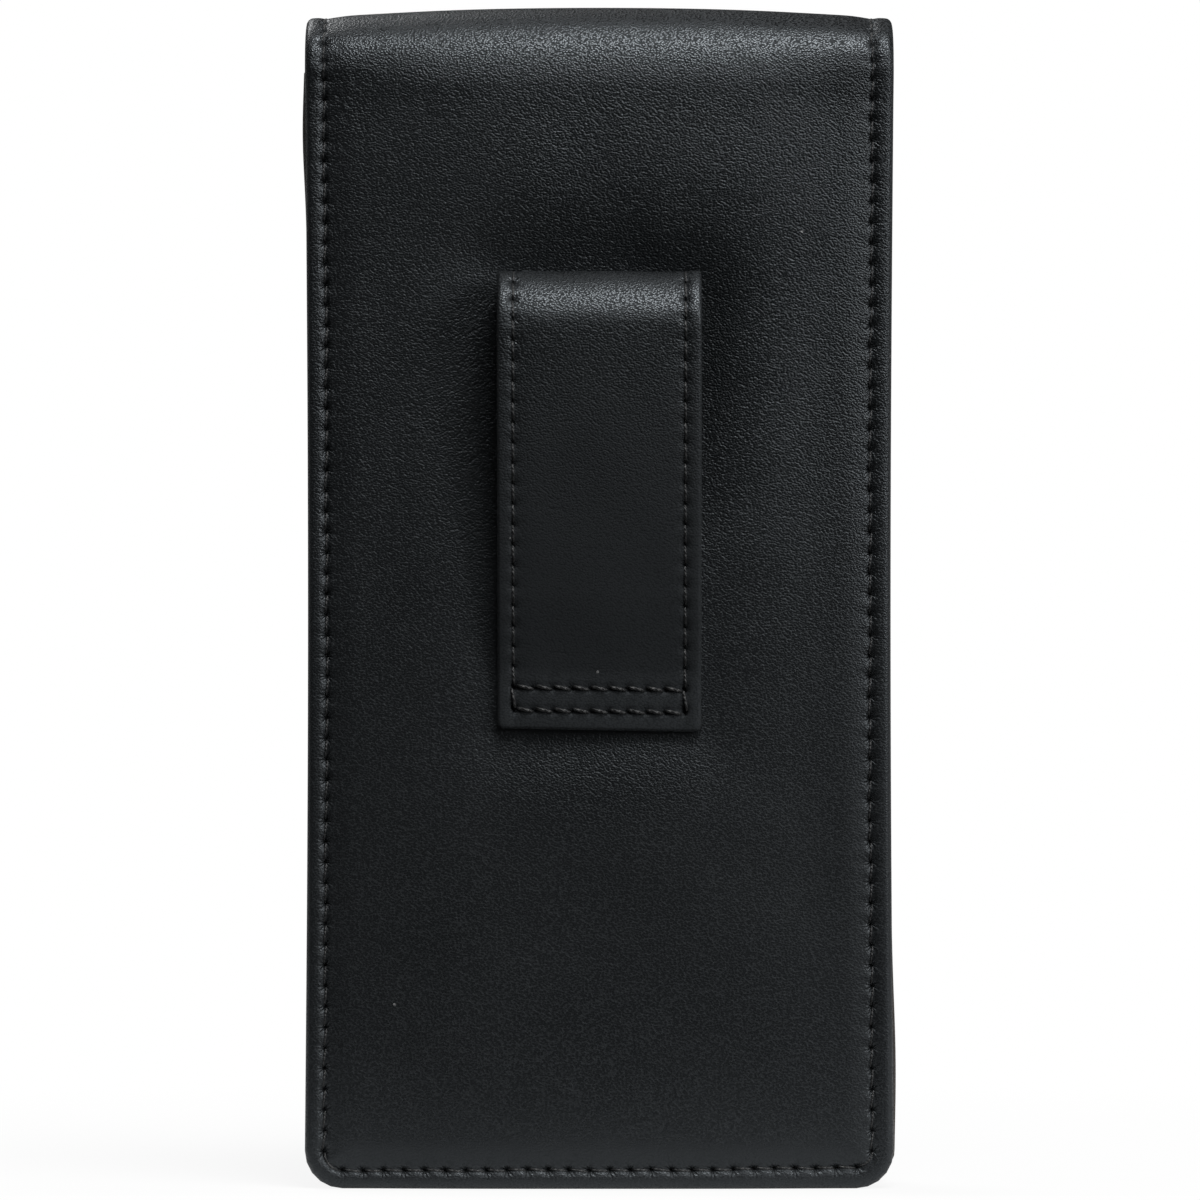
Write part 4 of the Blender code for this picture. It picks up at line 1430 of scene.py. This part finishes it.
def softCorner(r, y, size):    # three points round an outer corner
    return [(r - size, y), (r - size * 0.3, y - size * 0.3), (r, y - size)]


def makeStud():
    plate = case["frontY"] + snap["gap"]
    face = plate + snap["plate"]
    profile = softCorner(snap["nub"], studHigh.y, snap["nubRound"]) + [(snap["nub"], face)]
    profile += softCorner(snap["radius"], face, snap["plateRound"]) + [(snap["radius"], plate)]
    profile += [(snap["stem"], plate), (snap["stem"], studLow.y)]
    return turnedPiece("snapStud", profile, False)


def makeCup():
    big, a, b = snap["radius"], snap["rimRound"], snap["edgeRound"]
    back = case["flapY"] - case["wall"] - snap["gap"]
    floor, rim = magnetHigh.y + snap["gap"], cupLow.y
    pan = big - snap["cupWall"]
    profile = [(pan, floor), (pan, rim + b), (pan + a, rim), (big - a, rim), (big, rim + a)]
    profile += [(big, back - b), (big - b, back), (snap["stem"], back), (snap["stem"], cupHigh.y)]
    return turnedPiece("snapCup", profile, False)


def makeMagnet():
    hole, outer, b = snap["magnetHole"], magnetHigh.x, snap["edgeRound"]
    low, high = magnetLow.y, magnetHigh.y
    profile = [(hole + b, low), (outer - b, low), (outer, low + b)]
    profile += [(outer, high), (hole, high), (hole, low + b)]
    return turnedPiece("snapMagnet", profile, True)


dress(makeStud(), "nickel", "pouch", "snap_stud")
dress(makeCup(), "nickel", "flap", "snap_cup")
dress(makeMagnet(), "magnet", "flap", "snap_magnet")
for node in ("snap_stud_washer", "snap_cup_washer"):
    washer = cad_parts[node]
    washer.data.materials.clear()
    washer.data.materials.append(looks["nickel"])
print("pieces made")

# stage, light and camera

studio = {
    "floor": (0.80, 0.80, 0.80),
    "floorRough": 0.9,
    "floorNear": -0.03,
    "floorFar": 0.26,
    "floorWhite": 0.88,        # the rest of the floor's tone takes the shadow
    "whiteFar": (0.05, 0.24),  # all white far from the object
    "whiteNear": (-0.028, -0.012),    # and along the floor's near edge
    "ambient": 0.06,
    "mirrored": 0.45,          # share of the white that shows in the metal and the gloss
    "backdrop": (0.0, 0.3),    # it shows there as a low band behind the object
    "backdropTall": (0.02, 0.22),
    "aim": (0, 0, 0.09),
    "lamps": {
        "key": {"place": (0.17, -0.49, 1.04), "power": 10.6, "size": 0.45},
        "side": {"place": (0.85, -0.60, 0.45), "power": 5.8, "size": 0.45},
        "rear": {"place": (-0.45, 0.66, 1.00), "power": 5.5, "size": 0.6},
    },
}


def seenWhite(tree, mirrored):    # all of it to the camera, a share in gloss and glass
    path = tree.nodes.new("ShaderNodeLightPath").outputs
    gloss = mathNode(tree, "MAXIMUM", path["Is Glossy Ray"], path["Is Transmission Ray"])
    return mathNode(tree, "MAXIMUM", path["Is Camera Ray"], mathNode(tree, "MULTIPLY", gloss, mirrored))


def mixShaders(tree, share, first, second, surface):
    mix = tree.nodes.new("ShaderNodeMixShader")
    for value, socket in zip((share, first.outputs[0], second.outputs[0]), mix.inputs):
        tree.links.new(value, socket)
    tree.links.new(mix.outputs[0], surface)


def splitVector(tree, vector):
    node = tree.nodes.new("ShaderNodeSeparateXYZ")
    tree.links.new(vector, node.inputs[0])
    return node.outputs


def floorMaterial():    # reads as white, with the object's shadow kept
    colour, share = (*studio["floor"], 1), studio["floorWhite"]
    plain = {"Base Color": colour, "Roughness": studio["floorRough"]}
    material, tree, _, where = startMaterial("paleFloor", plain)
    away = tree.nodes.new("ShaderNodeVectorMath")
    away.operation = "LENGTH"
    tree.links.new(where, away.inputs[0])
    far = remap(tree, away.outputs["Value"], *studio["whiteFar"], share, 1.0)
    near = remap(tree, splitVector(tree, where)["Y"], *studio["whiteNear"], 1.0, share)
    white = mathNode(tree, "MAXIMUM", far, near)
    seen = mathNode(tree, "MULTIPLY", seenWhite(tree, studio["mirrored"]), white)
    glow = tree.nodes.new("ShaderNodeEmission")
    surface = tree.nodes["Material Output"].inputs["Surface"]
    mixShaders(tree, seen, tree.nodes["Principled BSDF"], glow, surface)
    return material


def makeFloor():
    near, far = studio["floorNear"], studio["floorFar"]
    verts = np.array([(-far, near, 0), (far, near, 0), (far, far, 0), (-far, far, 0)], float)
    floor = meshObject("floor", verts, [(0, 1, 2, 3)])
    floor.data.materials.append(floorMaterial())


def backgroundNode(tree, strength):
    node = tree.nodes.new("ShaderNodeBackground")
    node.inputs["Color"].default_value = (1, 1, 1, 1)
    node.inputs["Strength"].default_value = strength
    return node


def makeWorld():
    world = bpy.data.worlds.new("studio")
    bpy.context.scene.world = world
    world.use_nodes = True
    tree = world.node_tree
    tree.nodes.clear()
    towards = splitVector(tree, tree.nodes.new("ShaderNodeTexCoord").outputs["Generated"])
    behind = remap(tree, towards["Y"], *studio["backdrop"], 0.0, 1.0)
    band = remap(tree, mathNode(tree, "ABSOLUTE", towards["Z"]), *studio["backdropTall"], 1.0, 0.0)
    mirrored = mathNode(tree, "MULTIPLY", mathNode(tree, "MULTIPLY", behind, band), studio["mirrored"])
    surface = tree.nodes.new("ShaderNodeOutputWorld").inputs["Surface"]
    plain, white = backgroundNode(tree, studio["ambient"]), backgroundNode(tree, 1.0)
    mixShaders(tree, seenWhite(tree, mirrored), plain, white, surface)


def makeLamp(name, place, power, size):
    lamp = bpy.data.lights.new(name, "AREA")
    lamp.energy = power
    lamp.size = size
    obj = addObject(name, lamp)
    obj.location = place
    obj.rotation_euler = (Vector(studio["aim"]) - Vector(place)).to_track_quat("-Z", "Y").to_euler()


view = {
    "perPixel": 0.1433 * mm,    # at the back panel
    "frame": 1200,              # pixels
    "distance": 1.1,
    "centreX": 0.1 * mm,
    "centreZ": 84.5 * mm,
    "sensor": 36,
    "clipStart": 0.05,
}


def makeCamera():
    camera = bpy.data.cameras.new("camera")
    camera.sensor_width = view["sensor"]
    camera.lens = view["sensor"] * view["distance"] / (view["perPixel"] * view["frame"])
    camera.clip_start = view["clipStart"]
    obj = addObject("camera", camera)
    obj.location = (view["centreX"], case["backY"] - view["distance"], view["centreZ"])
    obj.rotation_euler = (math.pi / 2, 0, 0)
    bpy.context.scene.camera = obj


makeFloor()
makeWorld()
for name, lamp in studio["lamps"].items():
    makeLamp(name, **lamp)
makeCamera()
bpy.context.scene.view_settings.view_transform = "Standard"
print("stage, light and camera set")
